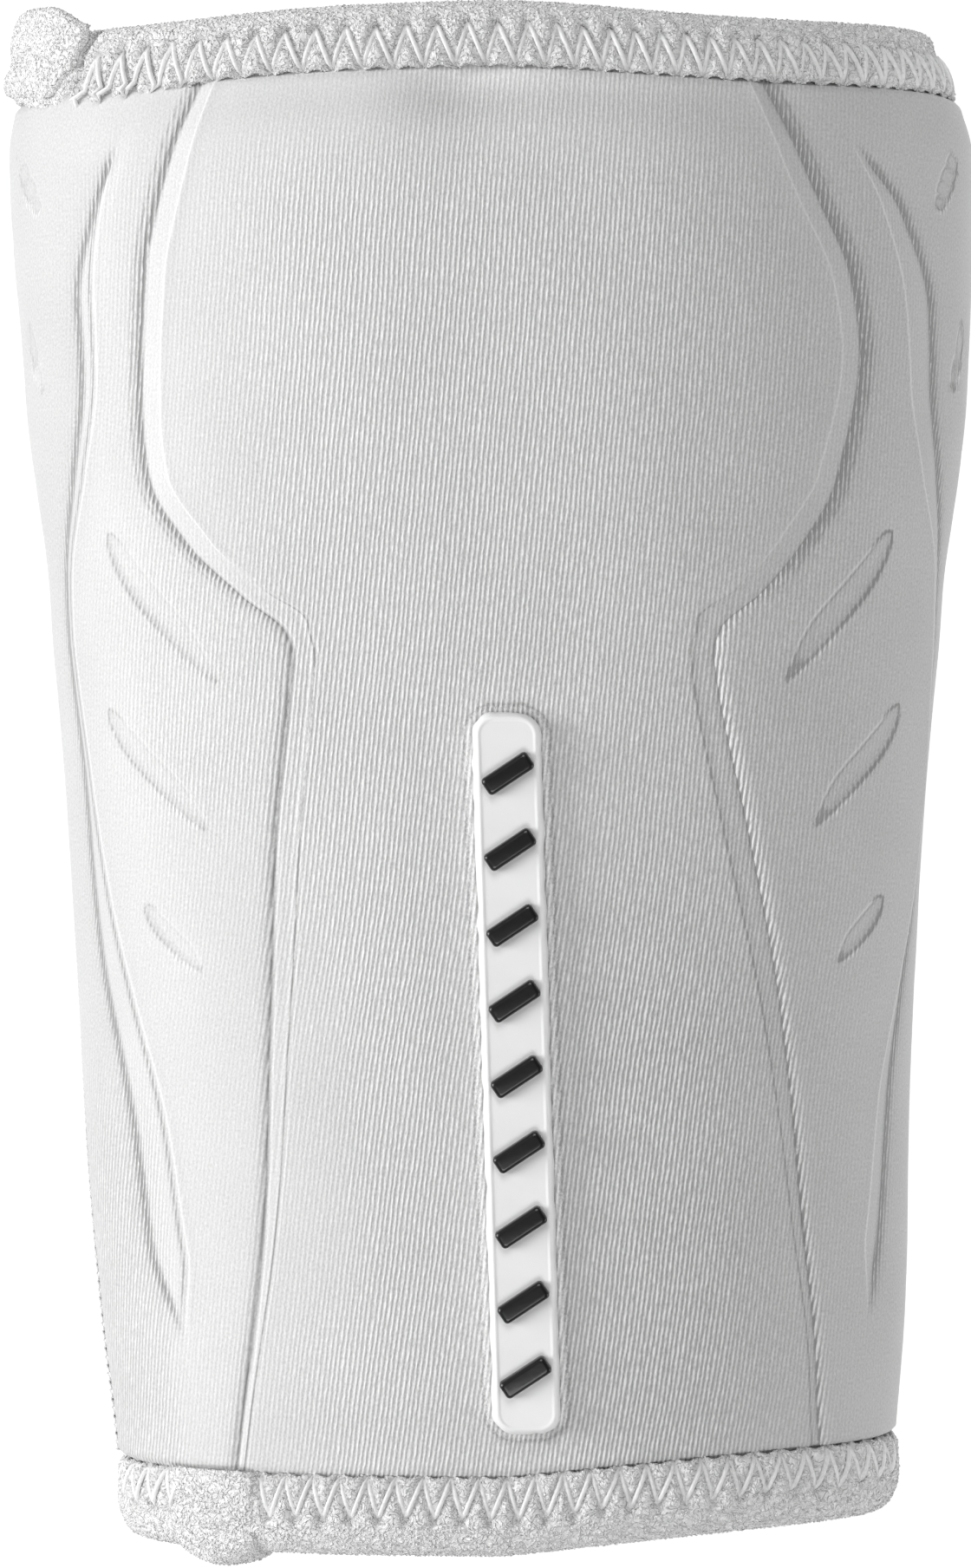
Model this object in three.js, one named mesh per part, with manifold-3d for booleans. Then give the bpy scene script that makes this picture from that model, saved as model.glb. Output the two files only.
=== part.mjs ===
// A padded wrist guard: a tapered tube of knit-faced neoprene with moulded pads on its front, both ends bound
// with a folded tape, one sewn seam down its side and a rubber badge with raised bars.
// Millimetres. X runs across the guard, Y along the arm from the wrist end to the forearm end, and Z up.
// The guard lies on its back on Z = 0, with the origin under its middle.
import * as THREE from "three";
import { mergeVertices } from "three/addons/utils/BufferGeometryUtils.js";
import Module from "manifold-3d";

const { lerp, clamp, smoothstep, degToRad } = THREE.MathUtils;

// Driving dimensions
const sleeveLength = 151.6;
const wristWidth = 81.4;
const forearmWidth = 98.6;
const wristHeight = 34.5;
const forearmHeight = 43.5;
const wallThickness = 2.6;
const flatBackWidth = 54;
const crownFullness = 2.25; // power of the superellipse over the front, 2 is an ellipse
const widestShare = 0.44; // height of the widest line, as a share of the section's height
const designDrift = 3.4; // how far the pads lie off the middle, towards +X
const axisSway = 1; // how far the whole tube leans sideways between its ends
const wristSkew = 2.6; // how much shorter the +X side is at the wrist end
const forearmBow = 0.9; // how much shorter both sides are at the forearm end

// Moulded pads
const padWidth = 73.8;
const padHeight = 2;
const channelWidth = 2.5;
const crescentReach = 49.4;
const crescentWidth = 3.1;
const creaseDepth = 0.4;
const creaseWidth = 0.9;
const leafDepth = 0.9;
const leafEdgeDepth = 0.25;
const leafBend = 0.035; // sideways bend of a leaf's middle line, as a share of its length
const rimDentDepth = 0.7;
const rimDentWidth = 13;
const rimDentLength = 16;

// Tape, seam and badge
const pieceGap = 0.3;
const tapeThickness = 1.2;
const wristTapeReach = 6.6;
const forearmTapeReach = 5.2;
const tapeInnerReach = 4.6;
const tapePress = 1; // how far the sewn tape presses the sleeve's outside in
const pressRamp = 1.6;
const tapeCrown = 0.35; // how much the tape swells between its edge and the fold
const tapeEndThickness = 0.7;
const tapeEndOverhang = 0.5;
const seamWidth = 5;
const seamThickness = 0.7;
const badgeLength = 71;
const badgeWidth = 7.3;
const badgeThickness = 1.3;
const badgeLipWidth = 0.7;
const badgeLipHeight = 0.3;
const badgeCorner = 2.2;
const badgeMiddle = 0.305; // place of the badge's middle along the sleeve
const badgeDrift = 0.59; // how far that middle lies off the tube's own, as a share of designDrift
const badgeTiltDegrees = 1.7;
const barCount = 9;
const barLength = 5.2;
const barWidth = 1.9;
const barHeight = 0.7;
const barBevel = 0.25;
const barSlantDegrees = 32;

// Mesh steps
const padSteps = 6;
const wingSteps = 6;
const flankSteps = 11;
const flankSpread = 1.4; // above 1 the columns crowd towards the pads
const tapeEndSteps = 6;
const curveSteps = 160;

// along runs from 0 at the wrist end to 1 at the forearm end. flare and rise run from the wrist's width and
// height to the forearm's, drift is a share of designDrift and sway a share of axisSway.
const sections = [
  { along: 0.0, flare: -0.12, rise: 0.0, drift: 0.65, sway: 1.0 },
  { along: 0.06, flare: -0.02, rise: 0.06, drift: 0.74, sway: 1.1 },
  { along: 0.13, flare: 0.1, rise: 0.15, drift: 0.93, sway: 1.0 },
  { along: 0.24, flare: 0.2, rise: 0.28, drift: 1.0, sway: 0.6 },
  { along: 0.34, flare: 0.28, rise: 0.42, drift: 0.88, sway: 0.2 },
  { along: 0.49, flare: 0.48, rise: 0.6, drift: 0.42, sway: -0.1 },
  { along: 0.63, flare: 0.65, rise: 0.8, drift: 0.08, sway: 0.0 },
  { along: 0.77, flare: 0.92, rise: 0.96, drift: 0.12, sway: -0.1 },
  { along: 0.93, flare: 1.0, rise: 1.0, drift: -0.2, sway: -0.6 },
  { along: 0.965, flare: 0.92, rise: 0.95, drift: -0.23, sway: -0.65 },
  { along: 1.0, flare: 0.76, rise: 0.86, drift: -0.25, sway: -0.7 },
];

// half is the middle pad's outline as a share of half its width, channel its border as a share of channelWidth,
// and wall the share of that border which slopes down from the pad.
const padOutline = [
  { along: 0.0, half: 0.845, channel: 0.4, wall: 0.7 },
  { along: 0.117, half: 0.791, channel: 0.4, wall: 0.7 },
  { along: 0.191, half: 0.751, channel: 0.52, wall: 0.65 },
  { along: 0.332, half: 0.699, channel: 0.8, wall: 0.5 },
  { along: 0.466, half: 0.634, channel: 1.0, wall: 0.4 },
  { along: 0.557, half: 0.575, channel: 0.96, wall: 0.35 },
  { along: 0.584, half: 0.566, channel: 0.9, wall: 0.35 },
  { along: 0.601, half: 0.588, channel: 0.85, wall: 0.4 },
  { along: 0.624, half: 0.7, channel: 0.85, wall: 0.5 },
  { along: 0.658, half: 0.827, channel: 0.9, wall: 0.65 },
  { along: 0.701, half: 0.94, channel: 0.95, wall: 0.75 },
  { along: 0.789, half: 1.0, channel: 0.95, wall: 0.8 },
  { along: 0.836, half: 0.984, channel: 0.85, wall: 0.8 },
  { along: 0.889, half: 0.913, channel: 0.68, wall: 0.8 },
  { along: 0.963, half: 0.767, channel: 0.4, wall: 0.8 },
  { along: 1.0, half: 0.678, channel: 0.4, wall: 0.8 },
];

// half is the crescent's outer line as a share of crescentReach, and width is a share of crescentWidth.
const crescentOutline = [
  { along: 0.0, half: 0.66, width: 0.1 },
  { along: 0.131, half: 0.735, width: 0.1 },
  { along: 0.191, half: 0.777, width: 0.85 },
  { along: 0.28, half: 0.818, width: 0.85 },
  { along: 0.359, half: 0.876, width: 0.75 },
  { along: 0.428, half: 0.935, width: 0.88 },
  { along: 0.513, half: 0.978, width: 0.97 },
  { along: 0.634, half: 1.0, width: 1.0 },
  { along: 0.708, half: 0.945, width: 0.97 },
  { along: 0.768, half: 0.908, width: 0.95 },
  { along: 0.82, half: 0.905, width: 1.0 },
  { along: 0.883, half: 0.834, width: 0.45 },
  { along: 0.925, half: 0.76, width: 0.1 },
  { along: 1.0, half: 0.62, width: 0.1 },
];

// Heights over the plain tube, as shares of padHeight: the middle pad, the floor of its border, the side pad
// beside it, and the side pad's step down at the crescent.
const relief = [
  { along: 0.0, crown: 0.0, floor: 0.0, wing: 0.0, step: 0.0 },
  { along: 0.05, crown: 0.0, floor: 0.0, wing: 0.0, step: 0.0 },
  { along: 0.1, crown: 0.55, floor: 0.12, wing: 0.22, step: 0.0 },
  { along: 0.14, crown: 0.6, floor: 0.12, wing: 0.22, step: 0.02 },
  { along: 0.25, crown: 0.62, floor: 0.12, wing: 0.25, step: 0.45 },
  { along: 0.4, crown: 0.72, floor: 0.15, wing: 0.55, step: 0.6 },
  { along: 0.57, crown: 0.85, floor: 0.2, wing: 0.8, step: 0.65 },
  { along: 0.66, crown: 0.95, floor: 0.15, wing: 0.6, step: 0.6 },
  { along: 0.77, crown: 1.0, floor: 0.08, wing: 0.25, step: 0.5 },
  { along: 0.88, crown: 1.0, floor: 0.03, wing: 0.12, step: 0.2 },
  { along: 0.92, crown: 0.85, floor: 0.0, wing: 0.05, step: 0.0 },
  { along: 0.957, crown: 0.0, floor: 0.0, wing: 0.0, step: 0.0 },
  { along: 1.0, crown: 0.0, floor: 0.0, wing: 0.0, step: 0.0 },
];

// Leaf-shaped hollows on each side. half is the middle's distance from the design's centre line as a share of
// crescentReach, length and width are shares of crescentReach too, and slant is in degrees up from the girth.
const leaves = [
  { name: "upper", along: 0.617, half: 0.697, length: 0.4, width: 0.057, slant: 50.6 },
  { name: "middle", along: 0.51, half: 0.729, length: 0.336, width: 0.053, slant: 47.7 },
  { name: "lower", along: 0.399, half: 0.719, length: 0.184, width: 0.045, slant: 46 },
  { name: "outer_upper", along: 0.906, half: 1.02, length: 0.175, width: 0.045, slant: 60 },
  { name: "outer_lower", along: 0.79, half: 1.055, length: 0.175, width: 0.04, slant: 72 },
];

// Rows of the mesh: where the outside and the inside have a ring, with one at each edge of the tape.
const wristTapeRow = wristTapeReach / sleeveLength;
const forearmTapeRow = 1 - forearmTapeReach / sleeveLength;
const wristRampRow = wristTapeRow + pressRamp / sleeveLength;
const forearmRampRow = forearmTapeRow - pressRamp / sleeveLength;
const openRows = [
  0.075, 0.1, 0.131, 0.16, 0.191, 0.235, 0.28, 0.32, 0.359, 0.395, 0.428, 0.47, 0.513, 0.55, 0.578, 0.592,
  0.607, 0.624, 0.641, 0.658, 0.68, 0.708, 0.738, 0.768, 0.795, 0.82, 0.85, 0.883, 0.905, 0.925,
];
const outerRows = [0, wristTapeRow, wristRampRow, ...openRows, forearmRampRow, forearmTapeRow, 1];
const innerRows = [0, wristTapeRow, 0.235, 0.428, 0.592, 0.738, 0.85, forearmTapeRow, 1];

// Sides of the seam and of the tape's lapped ends, as shares of half the girth: -1 and 1 meet behind.
const seamPlace = { wrist: -0.515, forearm: -0.6 };
const forearmTapeEnd = { from: -0.545, to: -0.425 };
const wristTapeEnd = { from: -0.365, to: -0.272 };

// Tape reach by end: 0 is the wrist's and 1 the forearm's.
const tapeReach = [wristTapeReach, forearmTapeReach];

const Solid = await Module().then((wasm) => {
  wasm.setup();
  return wasm;
});

const materials = {
  sleeve: new THREE.MeshStandardMaterial({ color: 0xe9e9e9, roughness: 0.75, metalness: 0 }),
  tape: new THREE.MeshStandardMaterial({ color: 0xf0f0f0, roughness: 0.9, metalness: 0 }),
  thread: new THREE.MeshStandardMaterial({ color: 0xf2f2f2, roughness: 0.6, metalness: 0 }),
  badge: new THREE.MeshStandardMaterial({ color: 0xf4f4f4, roughness: 0.45, metalness: 0 }),
  bar: new THREE.MeshStandardMaterial({ color: 0x1c1c1c, roughness: 0.4, metalness: 0 }),
};

// A table's column at a place along the sleeve, smooth between the rows and without overshoot.
function read(table, column, at) {
  const place = clamp(at, table[0].along, table[table.length - 1].along);
  let i = 1;
  while (i < table.length - 1 && table[i].along < place) i++;
  const rise = (k) => {
    if (k < 1 || k > table.length - 1) return 0;
    return (table[k][column] - table[k - 1][column]) / (table[k].along - table[k - 1].along);
  };
  const slope = (k) => {
    const [before, after] = [rise(k), rise(k + 1)];
    if (k === 0) return after;
    if (k === table.length - 1) return before;
    return before * after > 0 ? (2 * before * after) / (before + after) : 0;
  };
  const span = table[i].along - table[i - 1].along;
  const t = (place - table[i - 1].along) / span;
  const [t2, t3] = [t * t, t * t * t];
  return (
    (2 * t3 - 3 * t2 + 1) * table[i - 1][column] +
    (t3 - 2 * t2 + t) * span * slope(i - 1) +
    (3 * t2 - 2 * t3) * table[i][column] +
    (t3 - t2) * span * slope(i)
  );
}

// The tube's ends are lifted by the tape under them, so that tape and sleeve rest on one plane.
function backLift(along) {
  const underTape = pieceGap + tapeThickness + tapeCrown - tapePress;
  const wrist = 1 - smoothstep(along, wristTapeRow, 3 * wristTapeRow);
  const forearm = smoothstep(along, 1 - 3 * wristTapeRow, forearmTapeRow);
  return underTape * (wrist + forearm);
}

// How far each skin lies within the plain tube.
const skins = {
  outer: (along) => {
    const wrist = 1 - smoothstep(along, wristTapeRow, wristRampRow);
    const forearm = smoothstep(along, forearmRampRow, forearmTapeRow);
    return tapePress * (wrist + forearm);
  },
  inner: () => wallThickness,
};

// Half of a skin's section, from the top of the front round the side to the middle of the back.
function halfOutline(along, skin) {
  const inset = skins[skin](along);
  const width = lerp(wristWidth, forearmWidth, read(sections, "flare", along));
  const height = lerp(wristHeight, forearmHeight, read(sections, "rise", along));
  const back = backLift(along) + inset;
  const side = width / 2 - inset;
  const top = height - inset;
  const widest = lerp(backLift(along), height, widestShare);
  const flat = flatBackWidth / 2 - inset;
  const points = [];
  for (let i = 0; i <= curveSteps; i++) {
    const t = (Math.PI / 2) * (1 - i / curveSteps);
    const x = side * Math.cos(t) ** (2 / crownFullness);
    points.push(new THREE.Vector2(x, lerp(widest, top, Math.sin(t) ** (2 / crownFullness))));
  }
  for (let i = 1; i <= curveSteps; i++) {
    const t = ((Math.PI / 2) * i) / curveSteps;
    points.push(new THREE.Vector2(lerp(flat, side, Math.cos(t)), lerp(widest, back, Math.sin(t))));
  }
  points.push(new THREE.Vector2(0, back));
  const lengths = [0];
  for (let i = 1; i < points.length; i++) lengths.push(lengths[i - 1] + points[i].distanceTo(points[i - 1]));
  return { points, lengths, girth: lengths[lengths.length - 1], side };
}

const outlines = new Map();
function outlineAt(along, skin = "outer") {
  const key = skin + along.toFixed(6);
  if (!outlines.has(key)) outlines.set(key, halfOutline(along, skin));
  return outlines.get(key);
}

// How far a place is shifted along the arm by the slant and bow of the two edges, across running from -1 to 1.
function edgeShift(along, across) {
  const round = (share) => Math.sin((Math.PI / 2) * clamp(share, 0, 1));
  return wristSkew * (1 - along) ** 2 * round(across) - forearmBow * along ** 2 * round(Math.abs(across));
}

// The point at a share of the half girth, and the section's outward normal there.
function pointAt(along, share, skin = "outer") {
  const { points, lengths, girth, side } = outlineAt(along, skin);
  const away = clamp(Math.abs(share), 0, 1) * girth;
  let i = 1;
  while (i < lengths.length - 1 && lengths[i] < away) i++;
  const t = (away - lengths[i - 1]) / (lengths[i] - lengths[i - 1]);
  const spot = points[i - 1].clone().lerp(points[i], t);
  const run = points[i].clone().sub(points[i - 1]).normalize();
  const hand = share < 0 ? -1 : 1;
  const x = hand * spot.x + axisSway * read(sections, "sway", along);
  const y = (along - 0.5) * sleeveLength + edgeShift(along, (hand * spot.x) / side);
  return {
    point: new THREE.Vector3(x, y, spot.y),
    normal: new THREE.Vector3(-hand * run.y, 0, run.x),
  };
}

// The same, by the distance round the front from the design's centre line, and raised by a height.
function raised(along, distance, height) {
  const from = designDrift * read(sections, "drift", along) + distance;
  const { point, normal } = pointAt(along, from / outlineAt(along).girth);
  return point.addScaledVector(normal, height);
}

// The design's lines at a place along the sleeve: distance from the centre line and height, going outwards.
function designLines(along) {
  const half = (padWidth / 2) * read(padOutline, "half", along);
  const probe = 0.004;
  const slope =
    ((padWidth / 2) * (read(padOutline, "half", along + probe) - read(padOutline, "half", along - probe))) /
    (2 * probe * sleeveLength);
  const channel = channelWidth * read(padOutline, "channel", along) * Math.hypot(1, slope);
  const wall = read(padOutline, "wall", along);
  const outer = crescentReach * read(crescentOutline, "half", along);
  const crescent = crescentWidth * read(crescentOutline, "width", along);
  const height = (column) => padHeight * read(relief, column, along);
  const crease = creaseDepth * (crescent / crescentWidth) * smoothstep(height("step"), 0, 0.3);
  return [
    { at: half - channel, height: height("crown") },
    { at: half - channel * (1 - wall), height: height("floor") },
    { at: half - channel * 0.15, height: lerp(height("floor"), height("wing"), 0.1) },
    { at: half + channel * 0.12, height: height("wing") },
    { at: outer - crescent, height: height("step") },
    { at: outer, height: -crease },
    { at: outer + creaseWidth, height: 0 },
  ];
}

// A shallow dent in the middle pad, just below the forearm end's tape.
function rimDent(along, distance) {
  const down = (1 - along) * sleeveLength - forearmTapeReach;
  const across = distance / rimDentWidth;
  const away = Math.max(0, down) / rimDentLength;
  return rimDentDepth * Math.exp(-4 * across * across - 4 * away * away) * smoothstep(down, -1, 1);
}

// Height over the plain tube at any place on the outside.
function heightAt(along, distance) {
  const lines = [{ at: 0, height: padHeight * read(relief, "crown", along) }, ...designLines(along)];
  const away = Math.abs(distance);
  let i = 1;
  while (i < lines.length - 1 && lines[i].at < away) i++;
  const t = clamp((away - lines[i - 1].at) / (lines[i].at - lines[i - 1].at), 0, 1);
  return lerp(lines[i - 1].height, lines[i].height, t) - rimDent(along, distance);
}

// Distances from the centre line at which one side of a ring has its points, from the front to the back.
function ringStops(along) {
  const lines = designLines(along).map((line) => line.at);
  const stops = [];
  for (let i = 0; i < padSteps; i++) stops.push((lines[0] * i) / padSteps);
  stops.push(...lines.slice(0, 4));
  for (let i = 1; i < wingSteps; i++) stops.push(lerp(lines[3], lines[4], i / wingSteps));
  stops.push(...lines.slice(4));
  return stops;
}

// Shares of the half girth, right round from the front over the +X side to the back and on to the front. Under
// the tape they stay as they are at its edge.
function ringShares(along) {
  const place = clamp(along, wristRampRow, forearmRampRow);
  const girth = outlineAt(place).girth;
  const drift = designDrift * read(sections, "drift", place);
  const stops = ringStops(place);
  const side = (hand) => {
    const shares = stops.map((stop) => (drift + hand * stop) / girth);
    const last = shares[shares.length - 1];
    for (let i = 1; i < flankSteps; i++) shares.push(lerp(last, hand, (i / flankSteps) ** flankSpread));
    return shares;
  };
  const right = side(1);
  const left = side(-1).slice(1).reverse();
  return [...right, 1, ...left];
}

function outerRing(along) {
  const girth = outlineAt(along).girth;
  const drift = designDrift * read(sections, "drift", along);
  return ringShares(along).map((share) => {
    const { point, normal } = pointAt(along, share);
    return point.addScaledVector(normal, heightAt(along, share * girth - drift));
  });
}

function innerRing(along) {
  return ringShares(along).map((share) => pointAt(along, share, "inner").point);
}

function geometryOf(points, faces) {
  const geometry = new THREE.BufferGeometry().setFromPoints(points);
  geometry.setIndex(faces);
  return geometry;
}

// A closed skin through rings that follow one another round a tube's wall and back to the first.
function wrapRings(rings) {
  const count = rings[0].length;
  const faces = [];
  rings.forEach((ring, r) => {
    const next = ((r + 1) % rings.length) * count;
    for (let i = 0; i < count; i++) {
      const [a, b] = [r * count + i, r * count + ((i + 1) % count)];
      const [c, d] = [next + i, next + ((i + 1) % count)];
      faces.push(a, b, d, a, d, c);
    }
  });
  return geometryOf(rings.flat(), faces);
}

// A closed skin through outlines that follow one another, with both ends capped.
function loft(outlinesInOrder, flatOutline) {
  const count = flatOutline.length;
  const cap = THREE.ShapeUtils.triangulateShape(flatOutline, []).flat();
  const last = (outlinesInOrder.length - 1) * count;
  const faces = [];
  for (let r = 0; r < outlinesInOrder.length - 1; r++) {
    for (let i = 0; i < count; i++) {
      const [a, b] = [r * count + i, r * count + ((i + 1) % count)];
      faces.push(a, b, b + count, a, b + count, a + count);
    }
  }
  for (let i = 0; i < cap.length; i += 3) {
    faces.push(cap[i], cap[i + 2], cap[i + 1]);
    faces.push(last + cap[i], last + cap[i + 1], last + cap[i + 2]);
  }
  return geometryOf(outlinesInOrder.flat(), faces);
}

function turnInsideOut(geometry) {
  const faces = geometry.index.array;
  for (let i = 0; i < faces.length; i += 3) [faces[i + 1], faces[i + 2]] = [faces[i + 2], faces[i + 1]];
  return geometry;
}

// A closed geometry as a solid that can be cut, facing outwards whichever way it was lofted.
function solidOf(geometry) {
  const merged = mergeVertices(new THREE.BufferGeometry().copy(geometry), 1e-4);
  const make = () =>
    new Solid.Manifold(
      new Solid.Mesh({
        numProp: 3,
        vertProperties: merged.attributes.position.array,
        triVerts: new Uint32Array(merged.index.array),
      }),
    );
  const solid = make();
  if (solid.volume() > 0) return solid;
  turnInsideOut(merged);
  return make();
}

function geometryFrom(solid) {
  const { vertProperties, triVerts } = solid.getMesh();
  const geometry = new THREE.BufferGeometry();
  geometry.setAttribute("position", new THREE.BufferAttribute(new Float32Array(vertProperties), 3));
  geometry.setIndex(new THREE.BufferAttribute(new Uint32Array(triVerts), 1));
  return geometry;
}

function facingOut(geometry) {
  return geometryFrom(solidOf(geometry));
}

// The hollow that a leaf presses into one side pad: shallow along its upper edge, deep along its lower one.
function leafHollow(leaf, hand) {
  const length = leaf.length * crescentReach;
  const width = leaf.width * crescentReach;
  const slant = degToRad(leaf.slant);
  const stations = 8;
  const clearOfSkin = 2.5;
  const tipWidth = 0.12;
  const place = (run, across) => {
    const bend = -leafBend * length * Math.sin(2 * Math.PI * run);
    const [p, q] = [run * length, across + bend];
    const distance = leaf.half * crescentReach + p * Math.cos(slant) - q * Math.sin(slant);
    const along = leaf.along + (p * Math.sin(slant) + q * Math.cos(slant)) / sleeveLength;
    return { distance: hand * distance, along };
  };
  const at = (spot, depth) => raised(spot.along, spot.distance, heightAt(spot.along, spot.distance) - depth);
  const rings = [];
  for (let i = 0; i <= stations; i++) {
    const run = i / stations - 0.5;
    const half = Math.max(tipWidth, width * (1 - 4 * run * run)) / 2;
    const depth = leafDepth * Math.sqrt(Math.max(0.2, 1 - 4 * run * run));
    const [upper, lower] = [place(run, half), place(run, -half)];
    rings.push([at(upper, leafEdgeDepth), at(lower, depth), at(lower, -clearOfSkin), at(upper, -clearOfSkin)]);
  }
  const square = [
    [0, 0],
    [1, 0],
    [1, 1],
    [0, 1],
  ].map(([x, y]) => new THREE.Vector2(x, y));
  return solidOf(loft(rings, square));
}

function sleeve() {
  const outside = outerRows.map((along) => outerRing(along));
  const inside = innerRows.toReversed().map((along) => innerRing(along));
  let solid = solidOf(wrapRings([...outside, ...inside]));
  for (const leaf of leaves) {
    for (const hand of [1, -1]) solid = solid.subtract(leafHollow(leaf, hand));
  }
  return geometryFrom(solid);
}

// The wall where the tape presses it.
const edgeThickness = wallThickness - tapePress;

// The outline of a tape folded round the sleeve's edge. x is the distance in from that edge and y the height
// over the outside skin, clear the gap under the tape and thick its thickness.
function foldOutline({ clear, thick, crown, reach, innerReach }) {
  const beyond = clear + thick;
  const wall = edgeThickness;
  return [
    [reach, clear],
    [reach, clear + 0.7 * thick],
    [0.6 * reach, beyond + crown],
    [0.1 * reach, 0.95 * beyond + 0.5 * crown],
    [-0.62 * beyond, 0.45 * beyond],
    [-beyond, -0.22 * wall],
    [-beyond, -0.78 * wall],
    [-0.62 * beyond, -wall - 0.45 * beyond],
    [0.1 * reach, -wall - 0.95 * beyond],
    [innerReach, -wall - clear - 0.7 * thick],
    [innerReach, -wall - clear],
    [0, -wall - clear],
    [-clear, -wall],
    [-clear, 0],
    [0, clear],
  ].map(([x, y]) => new THREE.Vector2(x, y));
}

// How far along the sleeve a spot of that outline is.
function foldAlong(end, spot) {
  return Math.abs(end - Math.max(0, spot.x) / sleeveLength);
}

// The place in space of a spot of that outline, at a share of the half girth.
function overEdge(end, share, spot) {
  const inside = spot.y < -edgeThickness / 2;
  const { point, normal } = pointAt(foldAlong(end, spot), share, inside ? "inner" : "outer");
  const outwards = (end === 1 ? 1 : -1) * Math.max(0, -spot.x);
  point.addScaledVector(normal, inside ? spot.y + edgeThickness : spot.y);
  return point.add(new THREE.Vector3(0, outwards, 0));
}

function binding(end) {
  const fold = foldOutline({
    clear: pieceGap,
    thick: tapeThickness,
    crown: tapeCrown,
    reach: tapeReach[end],
    innerReach: tapeInnerReach,
  });
  const rings = fold.map((spot) => ringShares(foldAlong(end, spot)).map((share) => overEdge(end, share, spot)));
  return facingOut(wrapRings(rings));
}

// A lap of tape over the binding, between two sides given as shares of half the girth.
function tapeEnd(end, { from, to }) {
  const fold = foldOutline({
    clear: 2 * pieceGap + tapeThickness + tapeCrown,
    thick: tapeEndThickness,
    crown: 0,
    reach: tapeReach[end] + tapeEndOverhang,
    innerReach: tapeInnerReach,
  });
  const slices = [];
  for (let i = 0; i <= tapeEndSteps; i++) {
    const share = lerp(from, to, i / tapeEndSteps);
    slices.push(fold.map((spot) => overEdge(end, share, spot)));
  }
  return facingOut(loft(slices, fold));
}

// The sewn seam's flat cover of thread, from one binding to the other.
function sideSeam() {
  const from = wristTapeRow + pieceGap / sleeveLength;
  const to = forearmTapeRow - (tapeEndOverhang + pieceGap) / sleeveLength;
  const corners = [
    { across: -0.5, height: pieceGap },
    { across: 0.5, height: pieceGap },
    { across: 0.5, height: pieceGap + 0.5 * seamThickness },
    { across: 0.2, height: pieceGap + seamThickness },
    { across: -0.2, height: pieceGap + seamThickness },
    { across: -0.5, height: pieceGap + 0.5 * seamThickness },
  ];
  const rows = outerRows.filter((row) => row > from && row < to);
  const slices = [from, ...rows, to].map((along) => {
    const middle = lerp(seamPlace.wrist, seamPlace.forearm, along);
    const girth = outlineAt(along).girth;
    return corners.map(({ across, height }) => {
      const { point, normal } = pointAt(along, middle + (across * seamWidth) / girth);
      return point.addScaledVector(normal, height);
    });
  });
  const flat = corners.map(({ across, height }) => new THREE.Vector2(across * seamWidth, height));
  return facingOut(loft(slices, flat));
}

// The place at a distance along the badge from its middle, and so far across and over its underside.
function badgeSeat(run, across, height) {
  const along = badgeMiddle + run / sleeveLength;
  const sideways = badgeDrift * designDrift - Math.tan(degToRad(badgeTiltDegrees)) * run;
  const middle = designDrift * read(sections, "drift", along) + axisSway * read(sections, "sway", along);
  const distance = sideways - middle;
  const seat = raised(along, distance, heightAt(along, distance) + pieceGap + height);
  seat.x = sideways + across;
  return seat;
}

function badgePlate() {
  const stations = 14;
  const runs = [];
  for (let i = 0; i <= stations; i++) runs.push((i / stations - 0.5) * (badgeLength - 2 * badgeCorner));
  const cornerSteps = 3;
  const ends = [];
  for (let i = 1; i <= cornerSteps; i++) ends.push((badgeCorner * i) / cornerSteps);
  const straight = badgeLength / 2 - badgeCorner;
  const all = [
    ...ends.toReversed().map((past) => ({ run: -straight - past, past })),
    ...runs.map((run) => ({ run, past: 0 })),
    ...ends.map((past) => ({ run: straight + past, past })),
  ];
  const section = (past, end) => {
    const round = badgeCorner * (1 - Math.sqrt(Math.max(0, 1 - (0.9 * past / badgeCorner) ** 2)));
    const half = badgeWidth / 2 - round;
    const lip = past > 0.6 * badgeLipWidth && end ? badgeLipHeight : 0;
    return [
      { across: -half, height: 0 },
      { across: half, height: 0 },
      { across: half, height: badgeThickness },
      { across: half - 0.2 * badgeLipWidth, height: badgeThickness + badgeLipHeight },
      { across: half - badgeLipWidth, height: badgeThickness + badgeLipHeight },
      { across: half - 1.3 * badgeLipWidth, height: badgeThickness + lip },
      { across: -half + 1.3 * badgeLipWidth, height: badgeThickness + lip },
      { across: -half + badgeLipWidth, height: badgeThickness + badgeLipHeight },
      { across: -half + 0.2 * badgeLipWidth, height: badgeThickness + badgeLipHeight },
      { across: -half, height: badgeThickness },
    ];
  };
  const slices = all.map(({ run, past }) =>
    section(past, past > badgeCorner / 2).map(({ across, height }) => badgeSeat(run, across, height)),
  );
  const flat = section(badgeCorner, true).map(({ across, height }) => new THREE.Vector2(across, height));
  return facingOut(loft(slices, flat));
}

// A slanted bar with bevelled edges, standing on the badge's face.
function badgeBar() {
  const slant = degToRad(barSlantDegrees);
  const across = (barLength / 2) * Math.cos(slant) - barBevel;
  const lean = (barLength / 2) * Math.sin(slant);
  const half = barWidth / 2 / Math.cos(slant) - barBevel;
  const outline = new THREE.Shape([
    new THREE.Vector2(-across, -lean - half),
    new THREE.Vector2(across, lean - half),
    new THREE.Vector2(across, lean + half),
    new THREE.Vector2(-across, -lean + half),
  ]);
  return new THREE.ExtrudeGeometry(outline, {
    depth: barHeight - barBevel,
    bevelThickness: barBevel,
    bevelSize: barBevel,
    bevelSegments: 1,
    steps: 1,
  });
}

function piece(name, geometry, material) {
  const mesh = new THREE.Mesh(geometry, material);
  mesh.name = name;
  return mesh;
}

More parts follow.
